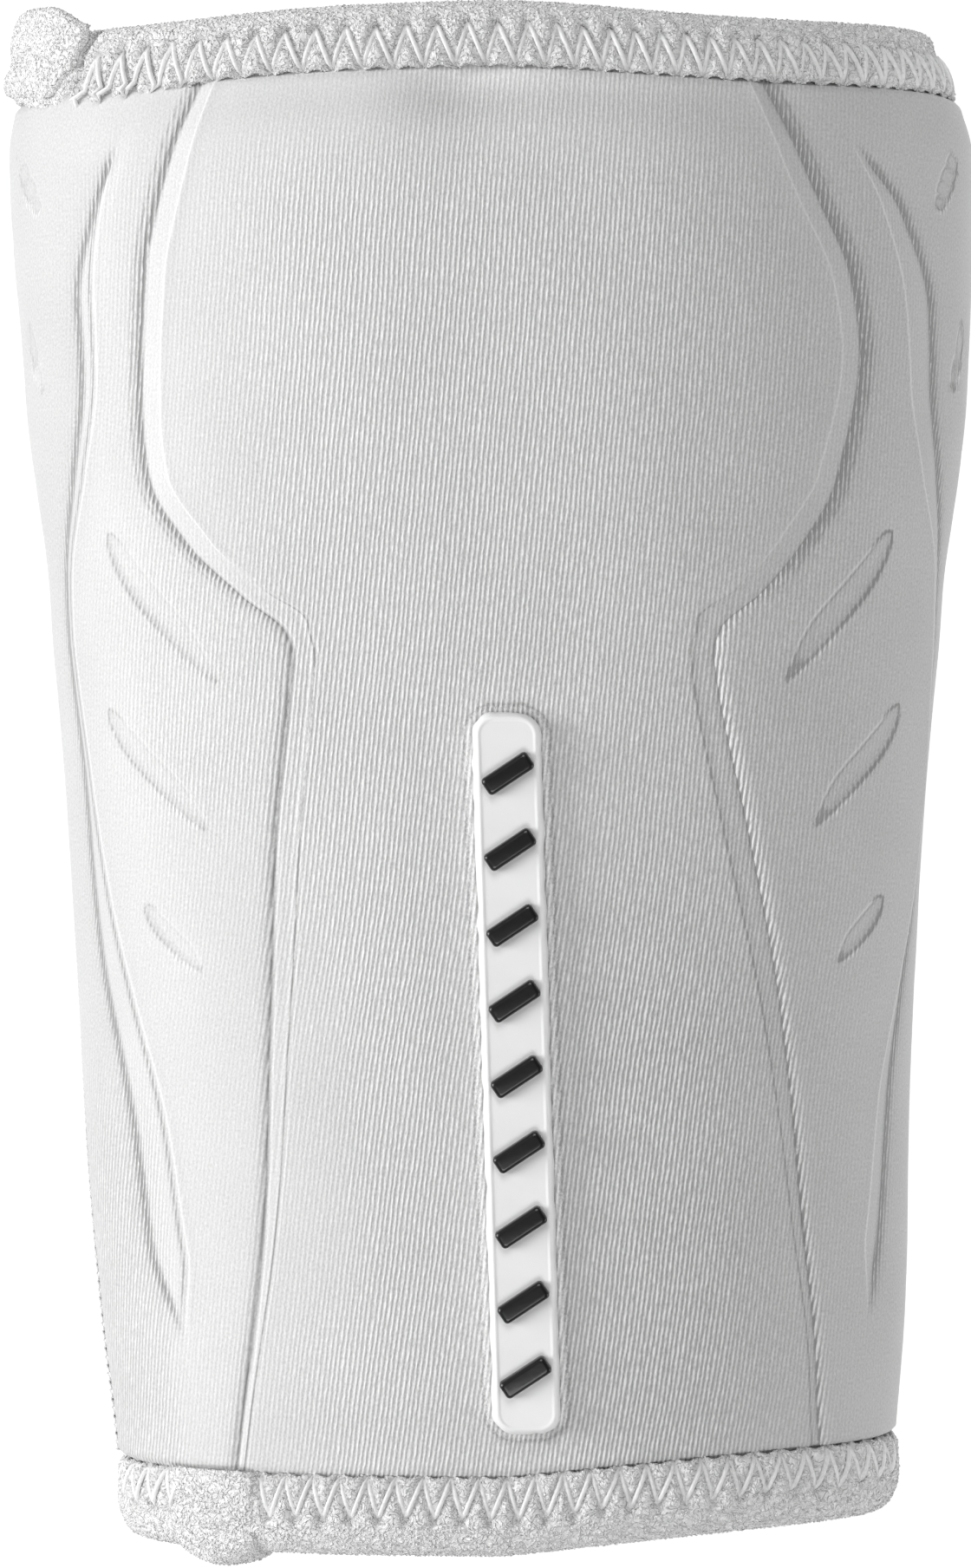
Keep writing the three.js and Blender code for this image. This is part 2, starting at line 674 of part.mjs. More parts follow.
function bars() {
  const group = new THREE.Group();
  const pitch = (badgeLength - 2 * badgeCorner) / barCount;
  const probe = 1;
  for (let i = 0; i < barCount; i++) {
    const run = (i - (barCount - 1) / 2) * pitch;
    const seat = badgeSeat(run, 0, badgeThickness + pieceGap + barBevel);
    const [before, after] = [badgeSeat(run - probe, 0, 0), badgeSeat(run + probe, 0, 0)];
    const bar = piece(`badge_bar_${i + 1}`, badgeBar(), materials.bar);
    bar.position.copy(seat);
    bar.rotation.order = "ZXY";
    bar.rotation.z = degToRad(badgeTiltDegrees);
    bar.rotation.x = Math.atan2(after.z - before.z, after.y - before.y);
    group.add(bar);
  }
  return group;
}

const guard = new THREE.Group();
guard.add(piece("sleeve", sleeve(), materials.sleeve));
guard.add(piece("wrist_binding", binding(0), materials.tape));
guard.add(piece("forearm_binding", binding(1), materials.tape));
guard.add(piece("wrist_tape_end", tapeEnd(0, wristTapeEnd), materials.tape));
guard.add(piece("forearm_tape_end", tapeEnd(1, forearmTapeEnd), materials.tape));
guard.add(piece("side_seam", sideSeam(), materials.thread));
guard.add(piece("badge_plate", badgePlate(), materials.badge));
guard.add(bars());

export default guard;
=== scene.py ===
import math

import bmesh
import bpy
import numpy as np
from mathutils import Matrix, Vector


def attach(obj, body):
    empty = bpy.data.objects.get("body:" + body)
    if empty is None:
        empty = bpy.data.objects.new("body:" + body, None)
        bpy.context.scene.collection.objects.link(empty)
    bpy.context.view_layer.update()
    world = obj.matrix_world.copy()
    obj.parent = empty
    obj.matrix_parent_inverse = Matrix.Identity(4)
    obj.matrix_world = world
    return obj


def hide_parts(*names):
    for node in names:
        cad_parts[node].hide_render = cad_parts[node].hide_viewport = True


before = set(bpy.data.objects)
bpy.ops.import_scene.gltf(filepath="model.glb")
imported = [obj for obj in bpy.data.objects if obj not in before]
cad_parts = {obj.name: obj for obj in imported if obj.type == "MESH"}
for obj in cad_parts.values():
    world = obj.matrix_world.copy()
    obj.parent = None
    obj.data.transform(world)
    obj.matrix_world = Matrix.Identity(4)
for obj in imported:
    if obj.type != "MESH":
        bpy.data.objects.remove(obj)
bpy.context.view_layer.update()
print("frame loaded,", len(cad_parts), "nodes")

mm = 0.001
scene = bpy.context.scene


# Camera, straight over the guard as it lies on its back
cameraSetup = {
    "widestHeight": 19.5,  # mm, where the photograph's scale was taken
    "distance": 520.0,  # mm over that height
    "pixelsPerMm": 11.22,
    "imageHeight": 1808,
    "aimX": -1.07,  # mm
    "aimY": 0.0,
    "sensor": 36.0,
}

# The guard's sizes in mm, and its outlines as tables: a few rows of shares each, read with smooth slopes
guard = {
    "length": 151.6,
    "wristWidth": 81.4,
    "forearmWidth": 98.6,
    "wristHeight": 34.5,
    "forearmHeight": 43.5,
    "wall": 2.6,
    "flatBack": 54.0,
    "crownFullness": 2.25,
    "widestShare": 0.44,
    "designDrift": 3.4,
    "axisSway": 1.0,
    "wristSkew": 2.6,
    "forearmBow": 0.9,
    "leftDroop": 0.75,
    "rightDroop": 0.6,
    "backLift": 0.85,
    "press": 1.0,
    "pressRamp": 0.5,
    "wristReach": 6.6,
    "forearmReach": 5.2,
    "innerReach": 4.6,
}
edgeWall = guard["wall"] - guard["press"]  # the cloth's thickness under the tapes
sectionSteps = {"upper": 241, "lower": 121, "back": 12}

sections = {
    "along": [0.0, 0.06, 0.13, 0.24, 0.34, 0.49, 0.63, 0.77, 0.93, 0.965, 1.0],
    "flare": [-0.12, -0.02, 0.1, 0.2, 0.28, 0.48, 0.65, 0.92, 1.0, 0.92, 0.76],
    "rise": [0.0, 0.06, 0.15, 0.28, 0.42, 0.6, 0.8, 0.96, 1.0, 0.95, 0.86],
    "drift": [0.65, 0.74, 0.93, 1.0, 0.88, 0.42, 0.08, 0.12, -0.2, -0.23, -0.25],
    "sway": [1.0, 1.1, 1.0, 0.6, 0.2, -0.1, 0.0, -0.1, -0.6, -0.65, -0.7],
    # mm, where the cloth hangs in
    "slackLeft": [0.6, 0.6, 0.4, 0.12, 0.3, 0.85, 0.35, 0.4, 0.0, 0.0, 0.0],
    "slackRight": [0.0, 0.4, 0.7, 0.8, 0.6, 0.25, 0.15, 0.1, 0.0, 0.5, 0.9],
}

# Moulded pads. The pads' middle swells, and their edges are low steps with pressed lines at their feet
pads = {
    "width": 73.8,
    "height": 2.0,
    "channel": 2.5,
    "crescentReach": 49.4,
    "crescentWidth": 3.1,
    "padStep": 0.34,  # mm, how far a pad's edge drops
    "neckStep": 0.16,
    "wingStep": 0.44,
    "crescentStep": 0.5,
    "creaseDepth": 0.2,
    "creaseWidth": 1.4,
    "shoulder": 1.7,  # how far in the side pads' edges are rounded
    "lipHeight": 0.07,
    "lipWidth": 0.42,
    "footDepth": 0.14,
    "footWidth": 0.4,
    "dentDepth": 1.5,
    "dentWidth": 12.0,
    "dentLength": 15.0,
}

padOutline = {
    "along": [
        0.0, 0.117, 0.191, 0.332, 0.466, 0.557, 0.584, 0.601,
        0.624, 0.658, 0.701, 0.789, 0.836, 0.889, 0.963, 1.0,
    ],
    "half": [
        0.845, 0.791, 0.751, 0.699, 0.634, 0.575, 0.566, 0.588,
        0.7, 0.827, 0.94, 1.0, 0.984, 0.913, 0.767, 0.678,
    ],
    "channel": [0.4, 0.4, 0.52, 0.8, 1.0, 0.96, 0.9, 0.85, 0.85, 0.9, 0.95, 0.95, 0.95, 0.9, 0.55, 0.4],
    # mm, shifts outwards
    "padLeft": [0, 0, 0, 0, 0, -0.2, -0.5, -0.6, -0.5, 0.5, 0.8, -0.7, -1.0, -0.7, 0, 0],
    "padRight": [0, 0, 0, 0, 0, 0, 0, 0, 0, -0.2, -0.6, 0, -0.1, -0.6, 0, 0],
}

crescentOutline = {
    "along": [0.0, 0.131, 0.191, 0.28, 0.359, 0.428, 0.513, 0.634, 0.708, 0.768, 0.82, 0.883, 0.925, 1.0],
    "half": [0.66, 0.735, 0.777, 0.818, 0.876, 0.935, 0.978, 1.0, 0.945, 0.908, 0.905, 0.834, 0.76, 0.62],
    "width": [0.1, 0.1, 0.85, 0.85, 0.75, 0.88, 0.97, 1.0, 0.97, 0.95, 1.0, 0.45, 0.1, 0.1],
    # mm, shifts outwards
    "ridgeRight": [0, 0, 0, 0, 0.8, 1.7, 2.4, 2.4, 1.5, 1.2, 1.1, 0.8, 0.2, 0],
    "rimRight": [0, 0, 0, 0, 0.8, 1.9, 2.6, 2.8, 2.4, 2.2, 2.2, 2.2, 0.5, 0],
    "rimLeft": [0, 0.7, 2.7, 2.7, 2.7, 1.4, 0, 0, 0, 0, 0, 0, 0, 0],
}

relief = {
    "along": [0.0, 0.05, 0.1, 0.14, 0.25, 0.4, 0.57, 0.66, 0.77, 0.88, 0.92, 0.957, 1.0],
    "crown": [0.0, 0.0, 0.55, 0.6, 0.62, 0.72, 0.85, 0.95, 1.0, 1.0, 0.85, 0.0, 0.0],
    "step": [0.0, 0.0, 0.0, 0.02, 0.45, 0.6, 0.65, 0.6, 0.5, 0.2, 0.0, 0.0, 0.0],
}

# Leaf-shaped hollows: place along the guard, distance from its middle, length, width and slant in degrees
leafBend = 0.014  # share of a leaf's length
leafDepth = 0.34
leaves = [
    {"along": 0.617, "half": 34.4, "length": 19.8, "width": 2.9, "slant": 50.6},
    {"along": 0.51, "half": 36.0, "length": 16.6, "width": 2.7, "slant": 47.7},
    {"along": 0.399, "half": 35.5, "length": 9.1, "width": 2.2, "slant": 46.0},
    {"along": 0.906, "half": 50.4, "length": 8.6, "width": 2.6, "slant": 60.0},
    {"along": 0.79, "half": 52.1, "length": 8.6, "width": 2.0, "slant": 72.0},
]


def smoothRead(table, column, at):
    # A table's column at a place along the guard, smooth between the rows and without overshoot
    xs = np.array(table["along"])
    ys = np.array(table[column])
    rises = np.diff(ys) / np.diff(xs)
    before = np.concatenate([[rises[0]], rises])
    after = np.concatenate([rises, [rises[-1]]])
    product = before * after
    safe = np.where(product > 0, before + after, 1.0)
    slopes = np.where(product > 0, 2 * product / safe, 0.0)
    slopes[0] = rises[0]
    slopes[-1] = rises[-1]
    place = np.clip(np.asarray(at, float), xs[0], xs[-1])
    i = np.clip(np.searchsorted(xs, place, side="right") - 1, 0, len(xs) - 2)
    span = xs[i + 1] - xs[i]
    t = (place - xs[i]) / span
    rising = 3 * t**2 - 2 * t**3
    return (
        (1 - rising) * ys[i]
        + rising * ys[i + 1]
        + (t**3 - 2 * t**2 + t) * span * slopes[i]
        + (t**3 - t**2) * span * slopes[i + 1]
    )


def ease(value, low, high):
    t = np.clip((np.asarray(value, float) - low) / (high - low), 0.0, 1.0)
    return t * t * (3 - 2 * t)


wristTapeRow = guard["wristReach"] / guard["length"]
forearmTapeRow = 1 - guard["forearmReach"] / guard["length"]
wristRampRow = wristTapeRow + guard["pressRamp"] / guard["length"]
forearmRampRow = forearmTapeRow - guard["pressRamp"] / guard["length"]


def liftAt(along):
    wrist = 1 - ease(along, wristTapeRow, 3 * wristTapeRow)
    forearm = ease(along, 1 - 3 * wristTapeRow, forearmTapeRow)
    return guard["backLift"] * float(wrist + forearm)


def insetOf(along, skin):
    if skin == "inner":
        return guard["wall"]
    pressed = 1 - ease(along, wristTapeRow, wristRampRow) + ease(along, forearmRampRow, forearmTapeRow)
    return guard["press"] * float(pressed)


outlineCache = {}


def outlineAt(along, skin="outer"):
    # Half of a section, from the top of the front round the side to the middle of the back
    key = (round(float(along), 6), skin)
    if key in outlineCache:
        return outlineCache[key]
    inset = insetOf(along, skin)
    lift = liftAt(along)
    widthGain = guard["forearmWidth"] - guard["wristWidth"]
    heightGain = guard["forearmHeight"] - guard["wristHeight"]
    width = guard["wristWidth"] + widthGain * float(smoothRead(sections, "flare", along))
    height = guard["wristHeight"] + heightGain * float(smoothRead(sections, "rise", along))
    side = width / 2 - inset
    widest = lift + (height - lift) * guard["widestShare"]
    flat = guard["flatBack"] / 2 - inset
    power = 2 / guard["crownFullness"]
    t = np.linspace(math.pi / 2, 0, sectionSteps["upper"])
    c = np.clip(np.cos(t), 0, 1)
    s = np.clip(np.sin(t), 0, 1)
    upperX = side * c**power
    upperZ = widest + (height - inset - widest) * s**power
    t = np.linspace(0, math.pi / 2, sectionSteps["lower"])[1:]
    lowerX = flat + (side - flat) * np.cos(t)
    lowerZ = widest + (lift + inset - widest) * np.sin(t)
    backX = np.linspace(flat, 0, sectionSteps["back"])[1:]
    backZ = np.full(len(backX), lift + inset)
    x = np.concatenate([upperX, lowerX, backX])
    z = np.concatenate([upperZ, lowerZ, backZ])
    step = np.hypot(np.diff(x), np.diff(z))
    run = np.concatenate([[0], np.cumsum(step)])
    dx = np.gradient(x, run)
    dz = np.gradient(z, run)
    size = np.hypot(dx, dz)
    outline = {"x": x, "z": z, "run": run, "girth": run[-1], "side": side, "nx": -dz / size, "nz": dx / size}
    outlineCache[key] = outline
    return outline


def pointsAt(along, shares, heights, skin="outer"):
    # Places at shares of the half girth, raised by heights along the section's normal, in mm
    outline = outlineAt(along, skin)
    away = np.clip(np.abs(shares), 0, 1) * outline["girth"]
    hand = np.where(np.asarray(shares) < 0, -1.0, 1.0)
    x = np.interp(away, outline["run"], outline["x"])
    z = np.interp(away, outline["run"], outline["z"])
    nx = np.interp(away, outline["run"], outline["nx"])
    nz = np.interp(away, outline["run"], outline["nz"])
    across = hand * x / outline["side"]
    skew = guard["wristSkew"] * (1 - along) ** 2 * np.sin(math.pi / 2 * np.clip(across, 0, 1))
    bow = guard["forearmBow"] * along**2 * np.sin(math.pi / 2 * np.clip(np.abs(across), 0, 1))
    droop = guard["leftDroop"] * ease(-across, 0.3, 0.8)
    droop = droop + guard["rightDroop"] * np.sin(math.pi * np.clip((across - 0.15) / 0.8, 0, 1))
    y = (along - 0.5) * guard["length"] + skew - bow - droop * along**8
    sway = guard["axisSway"] * float(smoothRead(sections, "sway", along))
    slackLeft = float(smoothRead(sections, "slackLeft", along)) * ease(-across, 0.5, 0.95)
    slackRight = float(smoothRead(sections, "slackRight", along)) * ease(across, 0.5, 0.95)
    x = hand * (x + nx * heights) + sway + slackLeft - slackRight
    return np.stack([x, y, z + nz * heights], axis=-1)


def driftAt(along):
    return guard["designDrift"] * float(smoothRead(sections, "drift", along))


# The badge: a long rubber plate with raised bars, a little off the guard's middle and tilted
badge = {
    "length": 71.6,
    "width": 6.8,
    "corner": 2.2,
    "middle": 0.31,  # share of the guard's length
    "offset": 0.59 * guard["designDrift"],
    "tilt": 1.7,  # degrees
    "clear": 0.3,
    "thickness": 1.3,
    "lipHeight": 0.08,
    "lipWidth": 0.6,
    "ragged": 0.05,
    "edgeRound": 0.6,
    "seed": 31,
    "bars": 9,
    "barLength": 5.3,
    "barWidth": 1.9,
    "barHeight": 1.0,
    "barSlant": 32.0,
    "barRound": 0.42,
    "moatAway": 0.3,  # the hollow pressed into the cloth round the plate
    "moatWidth": 0.5,
    "moatDepth": 0.14,
}
badgeMiddleY = (badge["middle"] - 0.5) * guard["length"]
badgeTilt = math.tan(math.radians(badge["tilt"]))


def badgePlace(x, y):
    # Distance inside the plate's outline, negative outside, of places seen from the front
    run = y - badgeMiddleY
    middle = badge["offset"] - badgeTilt * run
    qx = np.abs(x - middle) - (badge["width"] / 2 - badge["corner"])
    qy = np.abs(run) - (badge["length"] / 2 - badge["corner"])
    outside = np.hypot(np.maximum(qx, 0), np.maximum(qy, 0)) + np.minimum(np.maximum(qx, qy), 0)
    return badge["corner"] - outside


def designLines(along, distance):
    # The design's lines at a place along the guard: how far out they lie, and how strong they are.
    # The two sides differ a little, and a distance below 0 is on the left
    onLeft = np.asarray(distance) < 0

    def shiftOf(table, left, right):
        # mm outwards, on the side where each place lies
        shifts = [float(smoothRead(table, name, along)) if name else 0.0 for name in (left, right)]
        return np.where(onLeft, *shifts)

    halfWidth = pads["width"] / 2
    half = halfWidth * float(smoothRead(padOutline, "half", along))
    probe = 0.004
    ahead = float(smoothRead(padOutline, "half", along + probe))
    behind = float(smoothRead(padOutline, "half", along - probe))
    slope = halfWidth * (ahead - behind) / (2 * probe * guard["length"])
    stretch = math.hypot(1, slope)
    channel = pads["channel"] * float(smoothRead(padOutline, "channel", along)) * stretch
    outer = pads["crescentReach"] * float(smoothRead(crescentOutline, "half", along))
    share = float(smoothRead(crescentOutline, "width", along))
    crown = float(smoothRead(relief, "crown", along))
    step = float(smoothRead(relief, "step", along))
    stepped = float(ease(along, 0.125, 0.17) * (1 - ease(along, 0.905, 0.928)))
    foot = half + shiftOf(padOutline, "padLeft", "padRight")
    ridge = outer - pads["crescentWidth"] * share
    return {
        "padEdge": foot - channel,
        "half": foot,
        "ridge": ridge + shiftOf(crescentOutline, None, "ridgeRight"),
        "outer": outer + shiftOf(crescentOutline, "rimLeft", "rimRight"),
        "stretch": stretch,
        "crown": crown,
        "upper": float(ease(along, 0.585, 0.67)),
        "stepped": stepped,
        "drop": pads["crescentStep"] * stepped * (0.45 + 0.55 * min(1.0, step / 0.6)),
    }


def leafPlaces(along, away):
    # Where places lie in the nearest leaf: along it, across it, how far inside, and its share of width there
    best = None
    for leaf in leaves:
        slant = math.radians(leaf["slant"])
        dx = away - leaf["half"]
        dy = (along - leaf["along"]) * guard["length"]
        p = (dx * math.cos(slant) + dy * math.sin(slant)) / leaf["length"]
        q = -dx * math.sin(slant) + dy * math.cos(slant)
        q = q + leafBend * leaf["length"] * np.sin(2 * math.pi * p)
        blunt = np.sqrt(np.clip(1 - np.clip(2 * p, 0, 1) ** 2.6, 0, 1))
        pointed = np.clip(1 - np.clip(-2 * p, 0, 1) ** 2.5, 0, 1)
        lens = blunt * pointed
        half = leaf["width"] / 2 * lens
        past = np.maximum(np.abs(p) - 0.5, 0) * leaf["length"]
        inside = np.where(past > 0, -np.hypot(past, q), half - np.abs(q))
        found = np.stack([p, np.clip(q / (leaf["width"] / 2), -3, 3), inside, lens])
        best = found if best is None else np.where(found[2] > best[2], found, best)
    return best


def reliefAt(along, distance):
    # Height of the moulded front over the plain tube
    line = designLines(along, distance)
    away = np.abs(distance)
    outer = line["outer"]
    swell = pads["height"] * line["crown"] * np.clip(1 - (away / outer) ** 2, 0, 1)
    upper = line["upper"]
    edgeStep = upper * pads["padStep"] + (1 - upper) * pads["neckStep"]
    bevel = (1 - upper) * ease(away, line["padEdge"], line["padEdge"] + 0.5)
    bevel = bevel + upper * ease(away, line["padEdge"] - 0.2, line["half"])
    height = swell - edgeStep * bevel

    # the side pad's edge rises from the channel in a tight rounded shoulder, or gently beside the upper pad
    shoulder = pads["shoulder"] * line["stretch"]
    t = np.clip((away - line["half"] + 0.1) / shoulder, 0, 1)
    rounded = np.sqrt(np.clip(1 - (1 - t) ** 2, 0, 1))
    gentle = ease(away, line["half"] - 0.2, line["half"] + 5.5)
    wing = (1 - upper) * pads["wingStep"] * rounded + upper * edgeStep * 0.9 * gentle
    height = height + wing

    # the bevel outside the side pad, with a foot that is pressed in
    stepped = line["stepped"]
    bevel = ease(away, line["ridge"] - 0.2, outer)
    height = height - line["drop"] * bevel
    back = ease(away, outer, outer + 6.5)
    height = height + line["drop"] * back
    pressed = np.exp(-(((away - outer) / pads["creaseWidth"]) ** 2))
    height = height - stepped * pads["creaseDepth"] * pressed

    # thin stretched lips along the upper edges, and pressed lines at the feet
    lip = np.exp(-(((away - line["padEdge"] + 0.15) / (pads["lipWidth"] * line["stretch"])) ** 2))
    lip = upper * lip + stepped * np.exp(-(((away - line["ridge"] + 0.1) / pads["lipWidth"]) ** 2))
    foot = np.exp(-(((away - line["half"]) / (pads["footWidth"] * line["stretch"])) ** 2))
    height = height + pads["lipHeight"] * lip - pads["footDepth"] * foot

    # a dent under the forearm tape
    downwards = (1 - along) * guard["length"] - guard["forearmReach"]
    across = (distance + 1.5) / pads["dentWidth"]
    fall = max(0.0, downwards) / pads["dentLength"]
    dent = pads["dentDepth"] * np.exp(-4 * across**2 - 4 * fall**2) * float(ease(downwards, -1, 1))
    height = height - dent

    # leaf-shaped hollows, shallow along the upper edge and deep along the lower
    side, inside, lens = leafPlaces(along, away)[1:]
    tilt = np.clip((1 - side) / 2, 0, 1)
    height = height - leafDepth * np.sqrt(lens) * ease(inside, 0.0, 0.45) * (0.3 + 0.7 * tilt)
    return height


def softWaves(along, distance):
    # Slow unevenness of the cloth
    y = along * guard["length"]
    return (
        0.10 * np.sin(0.11 * distance + 0.7 + 0.05 * y)
        + 0.08 * np.sin(0.17 * distance - 0.083 * y + 2.1)
        + 0.05 * np.sin(0.31 * distance + 0.12 * y + 4.0)
    )


def pressMarks(along, distance):
    # Where the mould's lines lie on the cloth, as signed distances from them, and how strong the marks along
    # them are, the leaves' painted shade and highlights among them
    line = designLines(along, distance)
    away = np.abs(distance)
    p, side, inside = leafPlaces(along, away)[:3]
    limit = 6.0
    upperTip = ease(p, 0.3, 0.46)
    lowerTip = ease(-p, 0.4, 0.48)
    lower = ease(-side, -0.1, 0.4)
    return {
        "padLine": np.clip(away - line["padEdge"], -limit, limit),
        "footLine": np.clip(away - line["half"], -limit, limit),
        "ridgeLine": np.clip(away - line["ridge"], -limit, limit),
        "rimLine": np.clip(away - line["outer"], -limit, limit),
        "leafLine": np.clip(inside, -2, 2),
        # painted shade along the leaves' lower edges and at their tips, and painted highlights along their
        # upper edges and lower walls
        "leafShade": np.clip(lower * (0.5 + 0.5 * ease(p, -0.25, 0.1)) + upperTip + lowerTip, 0, 1),
        "leafHighlight": np.clip((1 - lower) * (1 - upperTip) * (1 - lowerTip), 0, 1),
        "leafShine": np.clip(lower * ease(-p, -0.05, 0.2) * (1 - lowerTip), 0, 1),
        "leafTipShade": ease(-p, 0.34, 0.4) * ease(inside, -0.05, 0.2),
        "upperMark": np.full_like(away, line["upper"]),
        "rimMark": np.full_like(away, line["stepped"]),
    }


# Mesh of the sleeve: its rows, and the columns of one side between the design's lines
sleeveMesh = {
    "rows": 330,
    "innerRows": 60,
    "pad": 24,
    "channel": 14,
    "wing": 44,
    "bevel": 11,
    "crease": 6,
    "flank": 28,
}
uvJump = 100.0  # mm, more than any face is wide


def sideStops(along, hand):
    # Distances from the centre line of one side's columns, crowded where the relief is steep
    line = {name: float(value) for name, value in designLines(along, hand).items()}
    steps = sleeveMesh
    padEdge = line["padEdge"]
    ridge = line["ridge"]
    outer = line["outer"]
    t = np.linspace(0, 1, steps["pad"], endpoint=False)
    pad = (padEdge - 0.6) * (1 - (1 - t) ** 1.35)
    channel = np.linspace(padEdge - 0.6, line["half"] + 0.4, steps["channel"], endpoint=False)
    t = np.linspace(0, 1, steps["wing"], endpoint=False)
    wing = line["half"] + 0.4 + (ridge - 0.5 - line["half"] - 0.4) * (0.8 * t + 0.2 * t * t)
    bevel = np.linspace(ridge - 0.5, outer, steps["bevel"], endpoint=False)
    crease = np.linspace(outer, outer + pads["creaseWidth"], steps["crease"], endpoint=False)
    return np.concatenate([pad, channel, wing, bevel, crease, [outer + pads["creaseWidth"]]])


def ringShares(along):
    # Shares of the half girth of a row's columns, from the middle of the front round to it again
    place = min(max(along, wristRampRow), forearmRampRow)
    girth = outlineAt(place)["girth"]
    drift = driftAt(place)
    steps = sleeveMesh["flank"]
    sides = []
    for hand in (1, -1):
        shares = (drift + hand * sideStops(place, hand)) / girth
        flank = shares[-1] + (hand - shares[-1]) * (np.arange(1, steps) / steps) ** 1.25
        sides.append(np.concatenate([shares, flank]))
    return np.concatenate([sides[0], [1.0], sides[1][:0:-1]])


def ribTurn(y):
    # How far the knit's ribs have leant sideways at a place along the guard
    return 0.1 * y + 0.05 * np.minimum(y, 0) * ease(-y, 0, 30)


def newObject(name, data):
    made = bpy.data.objects.new(name, data)
    scene.collection.objects.link(made)
    return made


def meshFrom(name, points, faces):
    # faces is an array of quads, or a list where their sizes differ
    data = bpy.data.meshes.new(name)
    data.vertices.add(len(points))
    data.vertices.foreach_set("co", (np.asarray(points, float) * mm).ravel())
    if isinstance(faces, list):
        counts = np.array([len(f) for f in faces])
        flat = np.concatenate([np.asarray(f) for f in faces])
    else:
        counts = np.full(len(faces), faces.shape[1])
        flat = faces.ravel()
    data.loops.add(len(flat))
    data.loops.foreach_set("vertex_index", flat.astype(np.int32))
    data.polygons.add(len(counts))
    data.polygons.foreach_set("loop_start", np.concatenate([[0], np.cumsum(counts)[:-1]]).astype(np.int32))
    data.polygons.foreach_set("loop_total", counts.astype(np.int32))
    data.update(calc_edges=True)
    data.validate()
    data.polygons.foreach_set("use_smooth", np.ones(len(counts), bool))
    return newObject(name, data)


def solidFrom(name, points, faces, material=None):
    # A mesh with its faces turned outwards
    made = meshFrom(name, points, faces)
    work = bmesh.new()
    work.from_mesh(made.data)
    bmesh.ops.remove_doubles(work, verts=work.verts, dist=1e-7)
    bmesh.ops.recalc_face_normals(work, faces=work.faces)
    work.to_mesh(made.data)
    work.free()
    if material:
        made.data.materials.append(material)
    return made


def tubeFaces(ringCount, columnCount):
    # Quads between rings, as a list to which end faces are added
    r = np.arange(ringCount - 1)[:, None]
    c = np.arange(columnCount)[None, :]
    a = r * columnCount + c
    b = r * columnCount + (c + 1) % columnCount
    quads = np.stack([a, b, b + columnCount, a + columnCount], axis=-1).reshape(-1, 4)
    return [tuple(q) for q in quads.tolist()]


def wrapFaces(rowCount, columnCount):
    # Quads of a skin that closes on itself both ways
    r = np.arange(rowCount)[:, None]
    c = np.arange(columnCount)[None, :]
    a = r * columnCount + c
    b = r * columnCount + (c + 1) % columnCount
    d = ((r + 1) % rowCount) * columnCount + c
    e = ((r + 1) % rowCount) * columnCount + (c + 1) % columnCount
    return np.stack([a, b, e, d], axis=-1).reshape(-1, 4)


def outwardFaces(points, faces):
    # The same faces, turned round if the closed skin would enclose a negative volume
    p = np.asarray(points, float)
    volume = 0.0
    for i, j in ((1, 2), (2, 3)):
        volume += np.einsum("ij,ij->i", p[faces[:, 0]], np.cross(p[faces[:, i]], p[faces[:, j]])).sum()
    return faces if volume > 0 else faces[:, ::-1]


def setUv(obj, name, places, faces, turns):
    # A UV map in mm. Of a face that crosses the join, the far corners are set back by a turn
    corners = places[faces.ravel()].reshape(-1, 4, 2)
    u = corners[:, :, 0]
    back = np.broadcast_to(turns, len(places))[faces.ravel()].reshape(-1, 4)
    crossing = u.max(axis=1) - u.min(axis=1) > uvJump
    corners[:, :, 0] = np.where(crossing[:, None] & (u > 0), u - back, u)
    layer = obj.data.uv_layers.new(name=name)
    layer.data.foreach_set("uv", corners.ravel())


def setAttribute(obj, name, values):
    layer = obj.data.attributes.new(name, "FLOAT", "POINT")
    layer.data.foreach_set("value", np.asarray(values, float).ravel())


def ribStrength(along, shares):
    # The ribs, their bump and the painted shade in their valleys alike, stand out on the middle of the
    # front, and are flatter beside the forearm tape and at the sides
    low = float(1 - ease(along, 0.3, 0.5))
    middle = float(ease(along, 0.45, 0.52) * (1 - ease(along, 0.62, 0.7)))
    ribs = (1 - (0.65 - 0.3 * middle) * ease(-shares, 0.13, 0.25)) * (1 - 0.55 * ease(shares, 0.12, 0.32))
    ribs = ribs * (1 - 0.85 * ease(np.abs(shares), 0.28, 0.4))
    ribs = ribs * (1 - 0.5 * ease(-shares, 0.11, 0.16) * low * float(ease(along, 0.1, 0.2)))
    ribs = ribs * (1 + 0.55 * ease(shares, 0.03, 0.1) * (1 - ease(shares, 0.2, 0.3)) * low)
    calm = 1 - 0.55 * float(ease(along, 0.86, 0.95))
    calm = calm * (1 - 0.65 * ease(-shares, 0.03, 0.1) * float(ease(along, 0.9, 0.95)))
    lowLeft = ease(-shares, 0.32, 0.36) * float(1 - ease(along, 0.22, 0.36))
    return np.maximum(ribs * calm, 0.8 * lowLeft)


def paintedLightAt(shares):
    # Painted light and shade on the cloth: paler left of its middle, and darker towards both sides
    paintedLight = 0.1 * ease(-shares, 0.02, 0.14) * (1 - ease(-shares, 0.28, 0.38))
    paintedShadeLeft = 0.25 * ease(-shares, 0.33, 0.45)
    paintedShadeRight = 0.3 * ease(shares, 0.06, 0.27) * (1 - 0.4 * ease(shares, 0.42, 0.48))
    return paintedLight - (paintedShadeLeft + paintedShadeRight)


